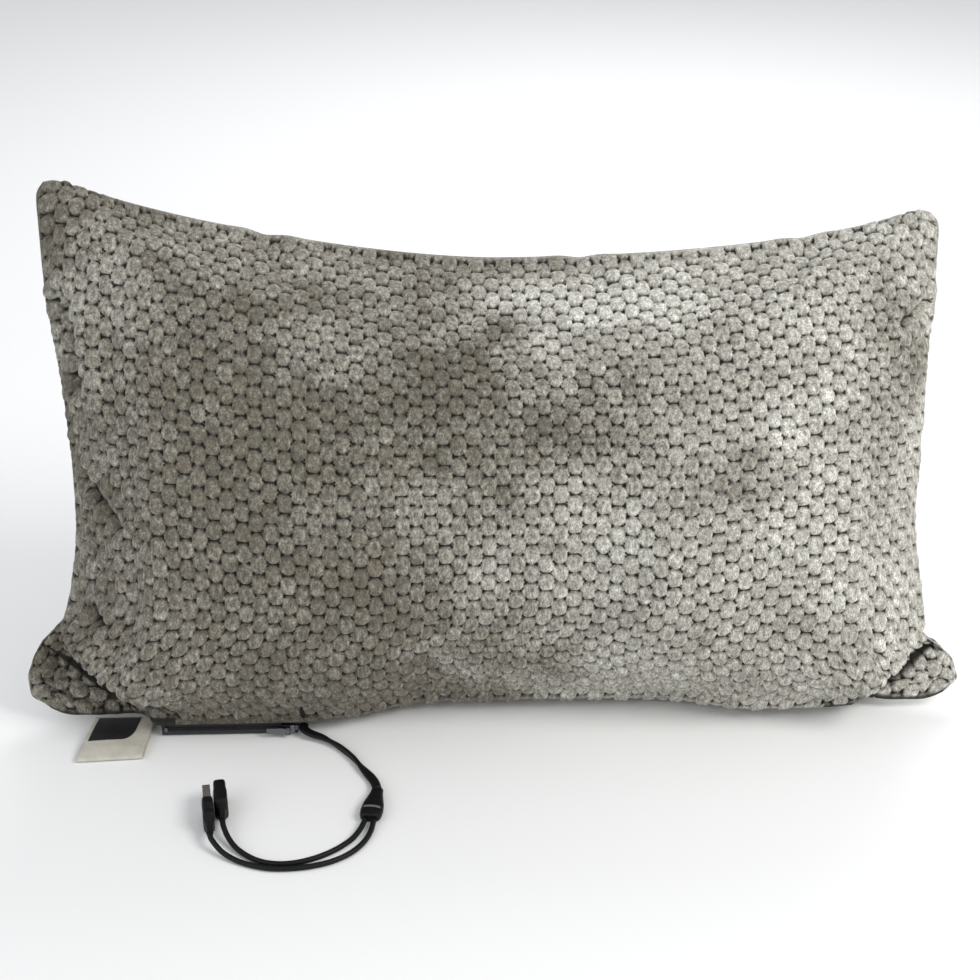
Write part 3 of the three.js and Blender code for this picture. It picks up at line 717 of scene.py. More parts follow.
def foldCorners(grid, shape):
    # the body laps over each ear: with q the distance from the fold towards the body, the cloth
    # slides towards the ear by lap S(q) exp(-((q - steep) / spread)^2), S an S-curve from 0 to
    # steep, and stands out by rise times much the same; past the lap's edge the ear sinks by
    # sink exp(-((q - edge) / sinkWidth)^2), and a shadow is painted there as exp(-((q - edge) /
    # narrow)^4)
    shade = np.zeros(grid.shape[:2])
    for start, end, lap, rise, sink, past, dark in earFolds:
        distance, share = fromFold(grid, start, end)
        outer = np.sign(start[0])
        runX, runZ = end[0] - start[0], end[1] - start[1]
        length = math.hypot(runX, runZ)
        ends = smoothStep(share, *shape["starts"]) * (1 - smoothStep(share, *shape["ends"]))
        behind = (distance - shape["steep"]).clip(0) / shape["spread"]
        follow = smoothStep(distance, 0, shape["steep"]) * ends
        slide = lap * follow * np.exp(-(behind**2))
        stand = rise * follow * np.exp(-((behind / shape["standSpread"]) ** 2))
        edge = shape["bend"] * (share - shape["bendFrom"]).clip(0) - past
        stand = stand - sink * np.exp(-(((distance - edge) / shape["sinkWidth"]) ** 2)) * ends
        across, down = abs(runZ) / length, abs(runX) / length
        grid = grid + np.stack([outer * slide * across, -stand, -slide * down], -1)
        # painted shadow: a dark band in the pile value past the lap's edge, where the ear lies under
        # the lap
        apart = smoothStep(share, *shape["shadowStarts"]) * (1 - smoothStep(share, *shape["shadowEnds"]))
        narrow = dark * apart + shape["thinnest"]
        gap = np.exp(-(((distance - edge) / narrow) ** 4)) * (narrow > 2 * shape["thinnest"])
        shade = np.maximum(shade, gap)
    return grid, shade


def pressCreases(grid, across, up):
    # a dip with a low bank on either side: depth (exp(-d^2) - 0.35 exp(-(d - 1.9)^2)), with d
    # the distance in half widths, and a painted shade of darkness exp(-(d / 0.75)^4)
    normal = surfaceNormals(grid, 1)
    shade = np.zeros(grid.shape[:2])
    for start, end, depth, width, dark in creases:
        share, distance = alongLine(across, up, start, end)
        length = math.hypot(end[0] - start[0], end[1] - start[1])
        beyond = np.maximum(0, np.maximum(-share, share - 1)) * length
        away = np.hypot(distance, beyond) / width
        dip = depth * (np.exp(-(away**2)) - 0.35 * np.exp(-((away - 1.9) ** 2)))
        grid = grid - normal * dip[..., None]
        shade = np.maximum(shade, dark * np.exp(-((away / 0.75) ** 4)))
    return grid, shade


# honeycomb tufts
plushPattern = {
    "columnPitch": 8.9,
    "rowPitch": 12.7,
    "cellColumns": 8,  # grid cells in one tuft, across and up
    "cellRows": 11,
    "height": 3.0,
    "interlock": 0.85,  # how far a tuft's middle reaches past half a column
    "endRound": 3.4,  # how far in the pad rounds at its ends and at its sides
    "sideRound": 3.0,
    "sideDepth": 0.9,  # depth of the side grooves as a share of the end grooves
    "wander": 0.5,  # how far the rows and columns stray
    "ragged": 0.55,  # how uneven a tuft's outline is
    "strayAcross": ((26, 21), (3.5, 22)),  # size and seed of the field for each of these two
    "strayUp": ((30, 23), (4, 24)),
    "roundUneven": 0.4,  # how much the rounding and the height differ between tufts
    "heightUneven": 0.28,
    "hang": 0.55,  # how much fuller a tuft is at its lower end, and how much it leans
    "lean": 0.3,
    "pileHeight": 0.16,  # unevenness of the pile itself, as a share of the height
    "pileField": (2.4, 31),
    "heart": (4.4, 5.5),  # depth from the sides and the ends at which a tuft's heart, with its painted shade, is reached
    "under": (0.2, 0.5),  # shares of a row between which a tuft lies under the one above, in a painted shade
    "seamFade": 2.5,
    "seamPile": 0.55,  # how light the bare seam is
    "seed": 11,
}


def tuftField(across, up, pattern):
    # columns of bricks, each column half a brick higher than the last, with zigzag sides: a
    # side stands at half a column + interlock (1 - 2 u), u running from a brick's middle to its end
    pitchX, pitchZ = pattern["columnPitch"], pattern["rowPitch"]
    side = np.full(across.shape, -1e9)
    nearX = np.zeros(across.shape)
    nearZ = np.zeros(across.shape)
    column = np.zeros(across.shape, int)
    row = np.zeros(across.shape, int)
    base = np.round(across / pitchX)
    for step in (-1, 0, 1):
        i = base + step
        shift = 0.5 * (i % 2)
        j = np.round(up / pitchZ - shift)
        dx = across - i * pitchX
        dz = up - (j + shift) * pitchZ
        reach = pitchX / 2 + pattern["interlock"] * (1 - 4 * np.abs(dz) / pitchZ) - np.abs(dx)
        deeper = reach > side
        side = np.where(deeper, reach, side)
        nearX = np.where(deeper, dx, nearX)
        nearZ = np.where(deeper, dz, nearZ)
        column = np.where(deeper, i, column).astype(int)
        row = np.where(deeper, j, row).astype(int)
    return side.clip(0), (pitchZ / 2 - np.abs(nearZ)).clip(0), nearX, nearZ, column, row


def tuftValues(column, row, pattern, count):
    # seeded random numbers, the same for every point of a tuft
    low = (column.min(), row.min())
    shape = (column.max() - low[0] + 1, row.max() - low[1] + 1)
    random = np.random.default_rng(pattern["seed"])
    return [random.random(shape)[column - low[0], row - low[1]] for _ in range(count)]


def blotches(across, up, size, seed):
    # smooth random field: even noise on a coarse net, carried to the fine grid by splines
    random = np.random.default_rng(seed)
    net = random.random((int(np.ptp(up) / size) + 3, int(np.ptp(across) / size) + 3))
    rows, columns = across.shape
    return splineWeights(net.shape[0], rows) @ net @ splineWeights(net.shape[1], columns).T


def strayField(across, up, pattern, fields):
    # wander (slow field - 0.5) 2 + ragged (fast field - 0.5) 2
    slow, fast = (blotches(across, up, size, seed) - 0.5 for size, seed in fields)
    return 2 * pattern["wander"] * slow + 2 * pattern["ragged"] * fast


def uneven(amount, values):
    # values from 0 to 1 spread over amount around 1
    return 1 - 0.5 * amount + amount * values


def fineGrid(coarse, across):
    # Catmull-Rom upsampling of a coarse panel, down its columns and along its rows
    rows, columns = across.shape
    grid = np.einsum("ij,jkc->ikc", splineWeights(coarse.shape[0], rows), coarse)
    return np.einsum("ij,kjc->kic", splineWeights(coarse.shape[1], columns), grid)


def raiseTufts(grid, across, up, side, p, pattern):
    # pad = sqrt(1 - a^2 - b^2), a and b running from 0 to 1 over the rounding at its ends and sides
    outward = 1 if side == "front" else -1
    strayX = strayField(across, up, pattern, pattern["strayAcross"])
    strayZ = strayField(across, up, pattern, pattern["strayUp"])
    edge, end, nearX, nearZ, column, row = tuftField(across + strayX, up + strayZ, pattern)
    size, tone, tilt, hue = tuftValues(column, row, pattern, 4)
    fromSeam = np.minimum(p["flatWidth"] / 2 - np.abs(across), p["flatHeight"] / 2 - np.abs(up))
    fade = smoothStep(fromSeam, 0, pattern["seamFade"])
    endRound = pattern["endRound"] * uneven(pattern["roundUneven"], size)
    sideRound = pattern["sideRound"] * uneven(pattern["roundUneven"], tilt)
    a = (1 - end / endRound).clip(0, 1)
    b = (1 - edge / sideRound).clip(0, 1) * pattern["sideDepth"]
    pad = np.sqrt((1 - a * a - b * b).clip(0))
    # the pile hangs, so a pad is fuller at its lower end
    lower = 1 - pattern["hang"] * nearZ / pattern["rowPitch"]
    lower = lower + pattern["lean"] * (tilt - 0.5) * nearX / pattern["columnPitch"]
    pile = pattern["pileHeight"] * (blotches(across, up, *pattern["pileField"]) - 0.5)
    full = pad * lower * uneven(pattern["heightUneven"], size) + pile * pad
    lift = pattern["height"] * full * fade
    normal = surfaceNormals(grid, outward)
    grid = grid + normal * lift[..., None]
    heartSide, heartEnd = pattern["heart"]
    underFrom, underTo = np.array(pattern["under"]) * pattern["rowPitch"]
    values = {
        "pile": pad * fade + pattern["seamPile"] * (1 - fade),
        "tone": tone,
        "hue": hue,
        # the pile's painted sheen and light
        "paintedLight": paintedLightField(across, up, side, paintedLightShape),
        "centre": np.minimum(edge / heartSide, end / heartEnd).clip(0, 1),
        # where the painted shade below the tuft above falls
        "under": smoothStep(nearZ, underFrom, underTo) * fade,
    }
    return grid, values


# patches of painted sheen and light on the pile: middle across and up, half sizes, how much lighter
paintedLightPatches = [
    (-250, 60, 40, 110, 0.14),
    (-235, -150, 60, 40, 0.10),
    (-120, 150, 140, 26, 0.26),
    (-95, 95, 60, 26, 0.24),
    (-20, -70, 50, 70, 0.06),
    (60, 134, 90, 28, 0.32),
    (0, 78, 62, 24, -0.2),
    (-230, 110, 60, 40, 0.14),
    (-255, -55, 34, 40, 0.14),
    (-215, -100, 50, 40, 0.1),
    (110, -20, 60, 60, 0.06),
    (95, -120, 120, 60, -0.04),
    (130, 5, 45, 24, -0.24),
    (40, 40, 50, 22, -0.16),
    (200, 20, 45, 90, 0.14),
    (245, 25, 30, 60, -0.22),
    (255, -80, 34, 50, 0.10),
    (262, 95, 26, 40, -0.24),
]


paintedLightShape = {
    "slow": (42, 5),  # size and seed of the two random fields
    "fast": (14, 8),
    "slowAmount": 0.16,  # how much lighter and darker they make the pile
    "fastAmount": 0.12,
    "raggedAcross": (46, 26),  # how far the slow and the fast field move a patch's border
    "raggedUp": 30,
    "least": 0.05,
    "ramp": (0.52, -75, 95),  # how much lighter the painted light makes the right half, and where it turns
    "farRamp": (0.1, 90, 300),
}


def paintedLightField(across, up, side, shape):
    # painted sheen and light on the pile: 0 where it is painted dark, 1 where it is painted light: a
    # ramp from left to right, with a ragged border, plus each patch's amount times exp(-(distance in
    # half sizes)^4)
    slow = blotches(across, up, *shape["slow"]) - 0.5
    fast = blotches(across, up, *shape["fast"]) - 0.5
    if side == "back":
        slow = slow[:, ::-1]
    raggedX = across + shape["raggedAcross"][0] * slow + shape["raggedAcross"][1] * fast
    raggedZ = up + shape["raggedUp"] * fast
    ramp, low, high = shape["ramp"]
    farRamp, farLow, farHigh = shape["farRamp"]
    paintedLight = shape["least"] + ramp * smoothStep(raggedX, low, high)
    paintedLight = paintedLight + farRamp * smoothStep(across, farLow, farHigh)
    for x, z, wide, tall, amount in paintedLightPatches:
        square = ((raggedX - x) / wide) ** 2 + ((raggedZ - z) / tall) ** 2
        paintedLight = paintedLight + amount * np.exp(-(square**2))
    return (paintedLight + shape["slowAmount"] * slow + shape["fastAmount"] * fast).clip(0, 1)


# the lead's opening over the zip
opening = {
    "before": 2,  # how far it reaches past the tape's left end
    "end": -118.0,
    "soft": 7,  # over this width it opens at either end
    "above": 0.35,  # gaps from the lip to the slider, and from each panel to the tapes
    "ahead": 0.8,
    "behind": 0.4,
    "nearest": -20,  # only points in front of this y are lifted
}


def clearZip(grid, side, shape):
    # the front panel's edge is lifted over the zip, and hangs in front of the tape; the back
    # panel's edge is drawn behind it
    low, high = (np.array(corner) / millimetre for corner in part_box("zip_tape_front"))
    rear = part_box("zip_tape_back")[1].y / millimetre + shape["behind"]
    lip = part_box("zip_slider")[1].z / millimetre + shape["above"]
    x0, x1 = low[0] - shape["before"], shape["end"]
    x = grid[..., 0]
    window = smoothStep(x, x0 - shape["soft"], x0) * (1 - smoothStep(x, x1, x1 + shape["soft"]))
    grid = grid.copy()
    if side == "front":
        near = grid[..., 1] < shape["nearest"]
        grid[..., 2] += np.where(near, window * (lip - grid[..., 2]).clip(0), 0)
        beforeTape = near & (grid[..., 2] < high[2] + 1)
        forwards = window * (grid[..., 1] - low[1] + shape["ahead"]).clip(0)
        grid[..., 1] -= np.where(beforeTape, forwards, 0)
    else:
        grid[..., 1] += window * (rear - grid[..., 1]).clip(0) * (grid[..., 2] < lip + 2)
    return grid


def makeCover(p, pattern):
    columns = int(round(p["flatWidth"] / pattern["columnPitch"])) * pattern["cellColumns"] + 1
    rows = int(round(p["flatHeight"] / pattern["rowPitch"])) * pattern["cellRows"] + 1
    across, up = flatGrid(p, columns, rows)
    front, back, kept = flattenEars(fineGrid(frontPanel, across), fineGrid(backPanel, across))
    linings = front, back, kept
    front, foldPaintedShadow = foldCorners(front, foldShape)
    front, creasePaintedShade = pressCreases(front, across, up)
    front, frontValues = raiseTufts(front, across, up, "front", p, pattern)
    back, backValues = raiseTufts(back, across, up, "back", p, pattern)
    # a shade is painted along the ears' bottom seam
    darkness, reach = p["earSeamPaintedShade"]
    seamPaintedShade = darkness * np.exp(-(((up + p["flatHeight"] / 2) / reach) ** 2))
    seamPaintedShade = seamPaintedShade * (np.abs(across) > p["earStart"][0])
    # the painted shade of the folds, the creases and the seam takes the pile value towards the groove
    # colour
    shade = np.maximum(np.maximum(foldPaintedShadow, creasePaintedShade), seamPaintedShade)
    frontValues["pile"] = frontValues["pile"] * (1 - shade)
    front = clearZip(front, "front", opening)
    back = clearZip(back, "back", opening)
    for grid in (front, back):
        grid[..., 2] = grid[..., 2].clip(p["groundGap"])
    points, faces, frontIndex, backIndex = joinPanels(front, back)
    cover = meshPiece("plush_cover", points * millimetre, faces)
    for name, values in frontValues.items():
        whole = np.zeros(len(points), np.float32)
        whole[backIndex] = backValues[name]
        whole[frontIndex] = values
        cover.data.attributes.new(name, "FLOAT", "POINT").data.foreach_set("value", whole)
    return cover, linings


cover, linings = makeCover(pillow, plushPattern)
print("cover made,", len(cover.data.polygons), "faces")

# the pile's colour runs from dark to pale with the painted sheen and light, over the tufts' own tone
plushLook = {
    "dark": (0.136, 0.124, 0.095),
    "darkWarm": (0.165, 0.142, 0.106),
    "light": (0.50, 0.485, 0.43),
    "pale": (0.80, 0.785, 0.73),
    # the groove colour is a painted shade, near black for the deep gaps between the tufts
    "groove": (0.016, 0.014, 0.010),
    "toneShare": 0.14,  # how much the tuft, the clumps and the broad painted-light patches move the colour
    "clumpShare": 0.85,
    "lightPatchShare": 0.3,
    "lightBetween": (-0.1, 0.8),  # painted lightness over which the colour turns light, and pale
    "paleBetween": (0.6, 1.25),
    "heartShade": 0.45,
    "grooveBetween": (0.08, 0.72),  # depth in the pile over which the colour sinks into the groove's painted shade
    "underShade": 0.45,
    "roughness": (0.82, 0.15),
    "fibreScale": 1300,
    "clumpScale": 430,
    "lightPatchScale": 70,
}


def plushPaint(look):
    # paintedLightAndTone = paintedLight + toneShare (tone - 0.5) + clumpShare (clump - 0.5) +
    # lightPatchShare (lightPatches - 0.5), painted sheen and light over the tufts' tone, picks dark,
    # light or pale;
    # speck = (2.3 fibre - 0.15) (1.8 clump + 0.1) multiplies it, and the groove colour, a painted
    # shade, takes over where the pile attribute nears 0
    sheen = {"Sheen_Weight": 0.14, "Sheen_Roughness": 0.45, "Sheen_Tint": (0.95, 0.93, 0.88, 1)}
    paint = Paint("cover_plush", **sheen)
    pile = paint.attribute("pile")
    tone = paint.attribute("tone")
    paintedLight = paint.attribute("paintedLight")
    centre = paint.attribute("centre")
    hanging = paint.place((1, 1, 0.5))  # the pile lies downwards, so its clumps are long that way
    fibre = paint.noise(look["fibreScale"], 2, 0.65, hanging)
    clump = paint.noise(look["clumpScale"], 3, 0.65, hanging)
    lightPatches = paint.noise(look["lightPatchScale"], 2, 0.5)
    paintedLightAndTone = paintedLight + look["toneShare"] * (tone - 0.5) + look["clumpShare"] * (clump - 0.5)
    paintedLightAndTone = paintedLightAndTone + look["lightPatchShare"] * (lightPatches - 0.5)
    base = paint.mix(paint.attribute("hue"), look["dark"], look["darkWarm"])
    colour = paint.mix(paintedLightAndTone.smooth(*look["lightBetween"]), base, look["light"])
    colour = paint.mix(paintedLightAndTone.smooth(*look["paleBetween"]), colour, look["pale"])
    # a painted shade at each tuft's heart where the pile stands up, lighter tips round it
    heart = centre.smooth(0.4, 1.0) * (1 - paintedLight.smooth(0.2, 0.8)) * look["heartShade"]
    colour = paint.mix(heart, colour, look["dark"])
    speck = (-0.15 + 2.3 * fibre) * (0.1 + 1.8 * clump)
    grey = paint.node("ShaderNodeCombineColor", {}, {0: speck, 1: speck, 2: speck})
    colour = paint.mix(1.0, colour, grey, "MULTIPLY")
    # painted shade: the pile darkens to the groove colour towards the ground cloth, most of all just
    # below the tuft above
    below = 1 - look["underShade"] * paint.attribute("under")
    depth = pile.smooth(*look["grooveBetween"]) * below
    colour = paint.mix(depth, look["groove"], colour)
    paint.feed("Base Color", colour)
    smooth, rougher = look["roughness"]
    paint.feed("Roughness", smooth + rougher * fibre)
    paint.bump(0.5 * fibre + 1.0 * clump, 0.0010, 1.0)
    return paint


dress(cover, plushPaint(plushLook))
standIn(cover, "cover_plush", "cover_front", "cover_back")


# the casing and its filling, inside the cover
innerLayers = {
    # share of the thickness left out on each side, cells inside the cover's seam, slot, nodes
    "inner_casing": (0.14, 20, "casing_cotton", ("casing_front", "casing_back")),
    "fibre_filling": (0.2, 28, "fibre_filling", ("filling",)),
}


def innerLayer(name, inset, margin, front, back, kept):
    # both panels moved inwards by a share of the gap, thinned to nothing at the rim and the ears:
    # front + (back - front) (inset + (0.5 - inset) (1 - share)), share rising from 0 at the rim
    # as (1 - across^8)^0.5 (1 - up^8)^0.5
    coarse = 6  # every so many cells of the cover
    ground = 1.5
    rows = np.arange(margin, front.shape[0] - margin, coarse)
    columns = np.arange(margin, front.shape[1] - margin, coarse)
    front, back, kept = (grid[np.ix_(rows, columns)] for grid in (front, back, kept))
    across, up = np.meshgrid(np.linspace(-1, 1, len(columns)), np.linspace(-1, 1, len(rows)))
    share = (1 - across**8).clip(0) ** 0.5 * (1 - up**8).clip(0) ** 0.5 * kept
    move = inset + (0.5 - inset) * (1 - share)
    shift = (back - front) * move[..., None]
    points, faces, *_ = joinPanels(front + shift, back - shift)
    points[:, 2] = points[:, 2].clip(ground)
    return meshPiece(name, points * millimetre, faces)


innerPieces = {}
for name, (inset, margin, slot, replaced) in innerLayers.items():
    innerPieces[name] = innerLayer(name, inset, margin, *linings)
    standIn(innerPieces[name], slot, *replaced)
print("casing and filling made")


# finishes of the small pieces
def rubberPaint(name, colour, roughness):
    # colour to 1.7 colour by smear, roughness + 0.16 (smear - 0.5)
    paint = Paint(name, Specular_IOR_Level=0.25)
    grain = paint.noise(2600, 2)
    smear = paint.noise(90, 3)
    paint.feed("Base Color", paint.mix(smear, colour, tuple(c * 1.7 for c in colour)))
    paint.feed("Roughness", roughness + 0.16 * (smear - 0.5))
    paint.bump(grain, 0.00008, 0.5)
    return paint


def metalPaint(name, colour, roughness):
    # colour to 0.82 colour by brushed noise drawn out along Y, roughness + 0.18 (noise - 0.5)
    paint = Paint(name, Metallic=1.0)
    brushed = paint.noise(900, 2, 0.5, paint.place((1, 0.08, 1)))
    paint.feed("Base Color", paint.mix(brushed, colour, tuple(c * 0.82 for c in colour)))
    paint.feed("Roughness", roughness + 0.18 * (brushed - 0.5))
    paint.bump(brushed, 0.00003, 0.4)
    return paint


def wovenPaint(name, dark, light, pitch, sheen=0.1, roughness=0.8):
    # two sets of threads at right angles: dark to light by S(0.5 warp + 0.3 weft), S an S-curve
    paint = Paint(name, Sheen_Weight=sheen)
    warp = paint.threads(pitch, "X")
    weft = paint.threads(pitch, "Z") + paint.threads(pitch, "Y")
    weave = warp * 0.5 + weft * 0.3
    paint.feed("Base Color", paint.mix(weave.smooth(0.1, 0.9), dark, light))
    paint.feed("Roughness", roughness + 0.1 * (paint.noise(300) - 0.5))
    paint.bump(weave, pitch * 0.25, 0.6)
    return paint


def satinPaint(name, colour, shade):
    # colour to shade by S(worn), bump of ribs + 2 worn, roughness 0.34 + 0.12 worn
    paint = Paint(name, Sheen_Weight=0.15, Specular_IOR_Level=0.6)
    ribs = paint.threads(0.0004, "Y")
    worn = paint.noise(140, 3)
    paint.feed("Base Color", paint.mix(worn.smooth(0.2, 0.9), colour, shade))
    paint.feed("Roughness", 0.34 + 0.12 * worn)
    paint.bump(ribs + 2.0 * worn, 0.00008, 0.5)
    return paint


def bandedPaint(name, colour, band):
    # moulded black with a light line where the piece's own band attribute is 1
    paint = Paint(name, Specular_IOR_Level=0.25)
    grain = paint.noise(2600, 2)
    line = paint.attribute("band")
    paint.feed("Base Color", paint.mix(line, colour, band))
    paint.feed("Roughness", 0.46 + 0.1 * (grain - 0.5))
    paint.bump(grain, 0.00008, 0.5)
    return paint


jacket = rubberPaint("cable_jacket", (0.003, 0.003, 0.0033), 0.5)
moulded = rubberPaint("moulded_black", (0.010, 0.010, 0.011), 0.5)
nickel = metalPaint("nickel", (0.62, 0.63, 0.65), 0.28)
zipMetal = metalPaint("zip_metal", (0.20, 0.20, 0.21), 0.32)
goldPlate = metalPaint("contact_gold", (0.83, 0.62, 0.25), 0.22)
tapeWeave = wovenPaint("zip_tape", (0.008, 0.008, 0.009), (0.03, 0.03, 0.032), 0.0006)
patchWeave = wovenPaint("label_patch", (0.004, 0.004, 0.005), (0.014, 0.014, 0.016), 0.0004, 0.0, 0.6)
cotton = wovenPaint("casing_cotton", (0.62, 0.60, 0.55), (0.82, 0.80, 0.75), 0.0005)
felt = wovenPaint("pad_felt", (0.55, 0.54, 0.51), (0.75, 0.74, 0.71), 0.0009, 0.2, 0.95)
coilNylon = rubberPaint("zip_coil", (0.014, 0.014, 0.016), 0.35)
heaterWire = rubberPaint("heater_wire", (0.03, 0.03, 0.032), 0.6)
insertWhite = rubberPaint("plug_insert", (0.55, 0.55, 0.54), 0.4)
fibreWhite = wovenPaint("fibre_filling", (0.72, 0.72, 0.70), (0.9, 0.9, 0.88), 0.001, 0.4, 1.0)

nodeFinishes = {
    "wire_sleeve": cotton,
    "heat_pad_face": felt,
    "heat_pad_carrier": felt,
    "heating_wire": heaterWire,
    "thermal_cutout": moulded,
    "inner_lead": jacket,
    "zip_tape_front": tapeWeave,
    "zip_tape_back": tapeWeave,
    "zip_top_stop_front": zipMetal,
    "zip_top_stop_back": zipMetal,
    "zip_bottom_stop": zipMetal,
    "zip_slider": zipMetal,
    "zip_pull": zipMetal,
    "plug_shell": nickel,
    "socket_shell": nickel,
    "plug_tongue": insertWhite,
    "socket_tongue": moulded,
    **{f"{end}_contact_{k}": goldPlate for end in ("plug", "socket") for k in range(1, 5)},
}
for name, finish in nodeFinishes.items():
    dress(nodes[name], finish)
dress(innerPieces["inner_casing"], cotton)
dress(innerPieces["fibre_filling"], fibreWhite)


# splitter and connectors: rounded sections carried along a straight line
mouldings = {
    # stations: distance along, half width across, half height, squareness (2 is round)
    "splitter": {
        "node": "splitter_body",
        "start": (-81.1, -135.8, 3.55),
        "turn": -8.5,  # degrees about Z, from +Y
        "stations": [
            (0.0, 2.0, 1.2, 2.2),
            (0.15, 4.6, 2.2, 2.6),
            (0.9, 5.7, 2.9, 2.6),
            (3.0, 6.4, 3.3, 2.5),
            (7.5, 6.7, 3.45, 2.4),
            (13.0, 6.2, 3.4, 2.4),
            (18.5, 4.9, 3.0, 2.3),
            (23.5, 3.9, 2.4, 2.2),
            (27.1, 3.5, 2.1, 2.2),
            (27.5, 2.6, 1.5, 2.2),
        ],
        "ribs": (20.0, 27.0, 1.7, 0.05),  # from, to, pitch, depth as a share
        "band": (6.8, 8.5, 4.7),  # from, to, half width
    },
    "plug": {
        "node": "plug_body",
        "start": (-171.1, -151.7, 7.55),
        "turn": 8.5,
        "stations": [
            (0.0, 1.7, 1.7, 2.0),
            (0.2, 2.0, 2.1, 2.0),
            (8.6, 2.7, 3.6, 2.4),
            (9.2, 3.0, 5.2, 3.4),
            (10.2, 3.25, 7.0, 4.6),
            (11.4, 3.3, 7.4, 5.0),
            (24.9, 3.3, 7.4, 5.0),
            (25.8, 3.1, 7.1, 5.0),
            (26.0, 2.7, 6.7, 5.0),
        ],
        "ribs": (1.0, 8.4, 1.5, 0.09),
        "grip": (14.0, 21.0, 1.2, 0.06),
    },
    "socket": {
        "node": "socket_body",
        "start": (-165.2, -138.9, 7.55),
        "turn": 8.5,
        "stations": [
            (0.0, 1.7, 1.7, 2.0),
            (0.2, 2.0, 2.1, 2.0),
            (7.6, 2.8, 3.6, 2.4),
            (8.3, 3.4, 5.4, 3.4),
            (9.3, 3.9, 7.0, 4.6),
            (10.4, 4.0, 7.4, 5.0),
            (21.2, 4.0, 7.4, 5.0),
            (21.9, 3.7, 7.15, 5.0),
            (28.7, 3.65, 7.1, 5.0),
            (29.0, 3.5, 6.95, 5.0),
            (29.0, 3.15, 6.75, 6.0),
            (15.8, 3.15, 6.75, 6.0),
        ],
        "ribs": (1.0, 7.4, 1.5, 0.09),
        "grip": (12.5, 19.5, 1.2, 0.05),
    },
}


def moulding(name, settings):
    # ring: (w |cos|^(2/n) sign, h |sin|^(2/n) sign), with w, h and n read off between the
    # stations, and ribs that scale a ring by 1 - depth (1 - cos(2 pi distance / pitch)) / 2
    rings, sides = 110, 36
    ribbed = 0.75  # share of the outline that may be ribbed, which leaves out a socket's inside
    stations = np.array(settings["stations"])
    span = np.concatenate([[0], np.cumsum(np.hypot(np.diff(stations[:, 0]), np.diff(stations[:, 1])))])
    fine = np.unique(np.concatenate([span, np.linspace(0, span[-1], rings)]))
    along, wide, tall, square = (np.interp(fine, span, stations[:, k]) for k in range(4))
    scale = np.ones_like(along)
    for key in ("ribs", "grip"):
        if key in settings:
            low, high, pitch, depth = settings[key]
            inside = (along > low) & (along < high) & (fine < span[-1] * ribbed)
            scale -= np.where(inside, depth * (1 - np.cos(2 * np.pi * (along - low) / pitch)) / 2, 0)
    angle = np.linspace(0, 2 * np.pi, sides, endpoint=False)
    c, d = np.cos(angle), np.sin(angle)
    power = 2 / square[:, None]
    x = (wide * scale)[:, None] * np.sign(c) * np.abs(c) ** power
    z = (tall * scale)[:, None] * np.sign(d) * np.abs(d) ** power
    turn = math.radians(settings["turn"])
    y = np.broadcast_to(along[:, None], x.shape)
    worldX = x * math.cos(turn) - y * math.sin(turn)
    worldY = x * math.sin(turn) + y * math.cos(turn)
    points = (np.stack([worldX, worldY, z], -1) + settings["start"]) * millimetre
    piece = meshPiece(f"{name}_moulding", points, ringFaces(len(along), sides))
    low, high, half = settings.get("band", (1, 0, 0))
    band = ((y > low) & (y < high) & (np.abs(x) < half) & (z > 0)).astype(np.float32)
    piece.data.attributes.new("band", "FLOAT", "POINT").data.foreach_set("value", band.ravel())
    standIn(piece, "moulded_black", settings["node"])
    dress(piece, bandedPaint(f"moulded_{name}", (0.0035, 0.0035, 0.004), (0.16, 0.16, 0.165)))


for name, settings in mouldings.items():
    moulding(name, settings)
print("splitter and connectors made")


# zip coils: a flattened helix along each tape's edge
coil = {"pitch": 0.00115, "wire": 0.00042}


def zipCoil(name, node, pitch, wire):
    # x runs on by one pitch a turn; y and z go round an ellipse that fills the coil's box
    low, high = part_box(node)
    middle, half = (low + high) / 2, (high - low) / 2
    turns = (high.x - low.x - wire) / pitch
    steps = 12  # in each turn
    angle = np.linspace(0, 2 * np.pi * turns, int(turns * steps))
    path = np.stack(
        [
            low.x + wire / 2 + pitch * angle / (2 * np.pi),
            middle.y + (half.y - wire / 2) * np.cos(angle),
            middle.z + (half.z - wire / 2) * np.sin(angle),
        ],
        -1,
    )
    helix = tubePiece(name, path, roundSection(wire), np.zeros(len(path)), 6)
    dress(helix, coilNylon)
    standIn(helix, "zip_coil", node)


for side in ("front", "back"):
    zipCoil(f"zip_teeth_{side}", f"zip_coil_{side}", coil["pitch"], coil["wire"])
print("zip coils made")


# the sewn-in label: a folded satin band with a black patch on its upper layer
label = {
    "sewn": (-254.5, -216.5),  # left and right edge where it is sewn in, and at the fold
    "fold": (-260.0, -220.5),
    "profile": [  # y and z from the seam, over the fold and back
        (-29.0, 3.6),
        (-36.0, 4.0),
        (-44.0, 4.3),
        (-52.0, 4.2),
        (-60.0, 4.0),
        (-66.5, 3.4),
        (-70.2, 2.6),
        (-71.2, 1.7),
        (-70.2, 0.8),
        (-66.0, 0.5),
        (-58.0, 0.7),
        (-50.0, 1.1),
        (-42.0, 1.6),
        (-29.0, 2.4),
    ],
    "thickness": 0.36,
    "bow": 0.7,  # how far the upper layer bows up, and how far the right end slants back
    "slant": 2.4,
    "patchAlong": (0.02, 0.305),  # the patch's share of the profile's length and of the width
    "patchAcross": (0.07, 0.76),
    "patchCorner": 0.42,  # share of its length that is rounded, and how far the corner runs in
    "patchRunIn": 0.24,
    "patchLift": 0.42,
    "patchThickness": 0.2,
    "turnFrom": -38.0,  # where a turn about its seam would lie; the label is not turned
    "turnTo": -43.0,
}


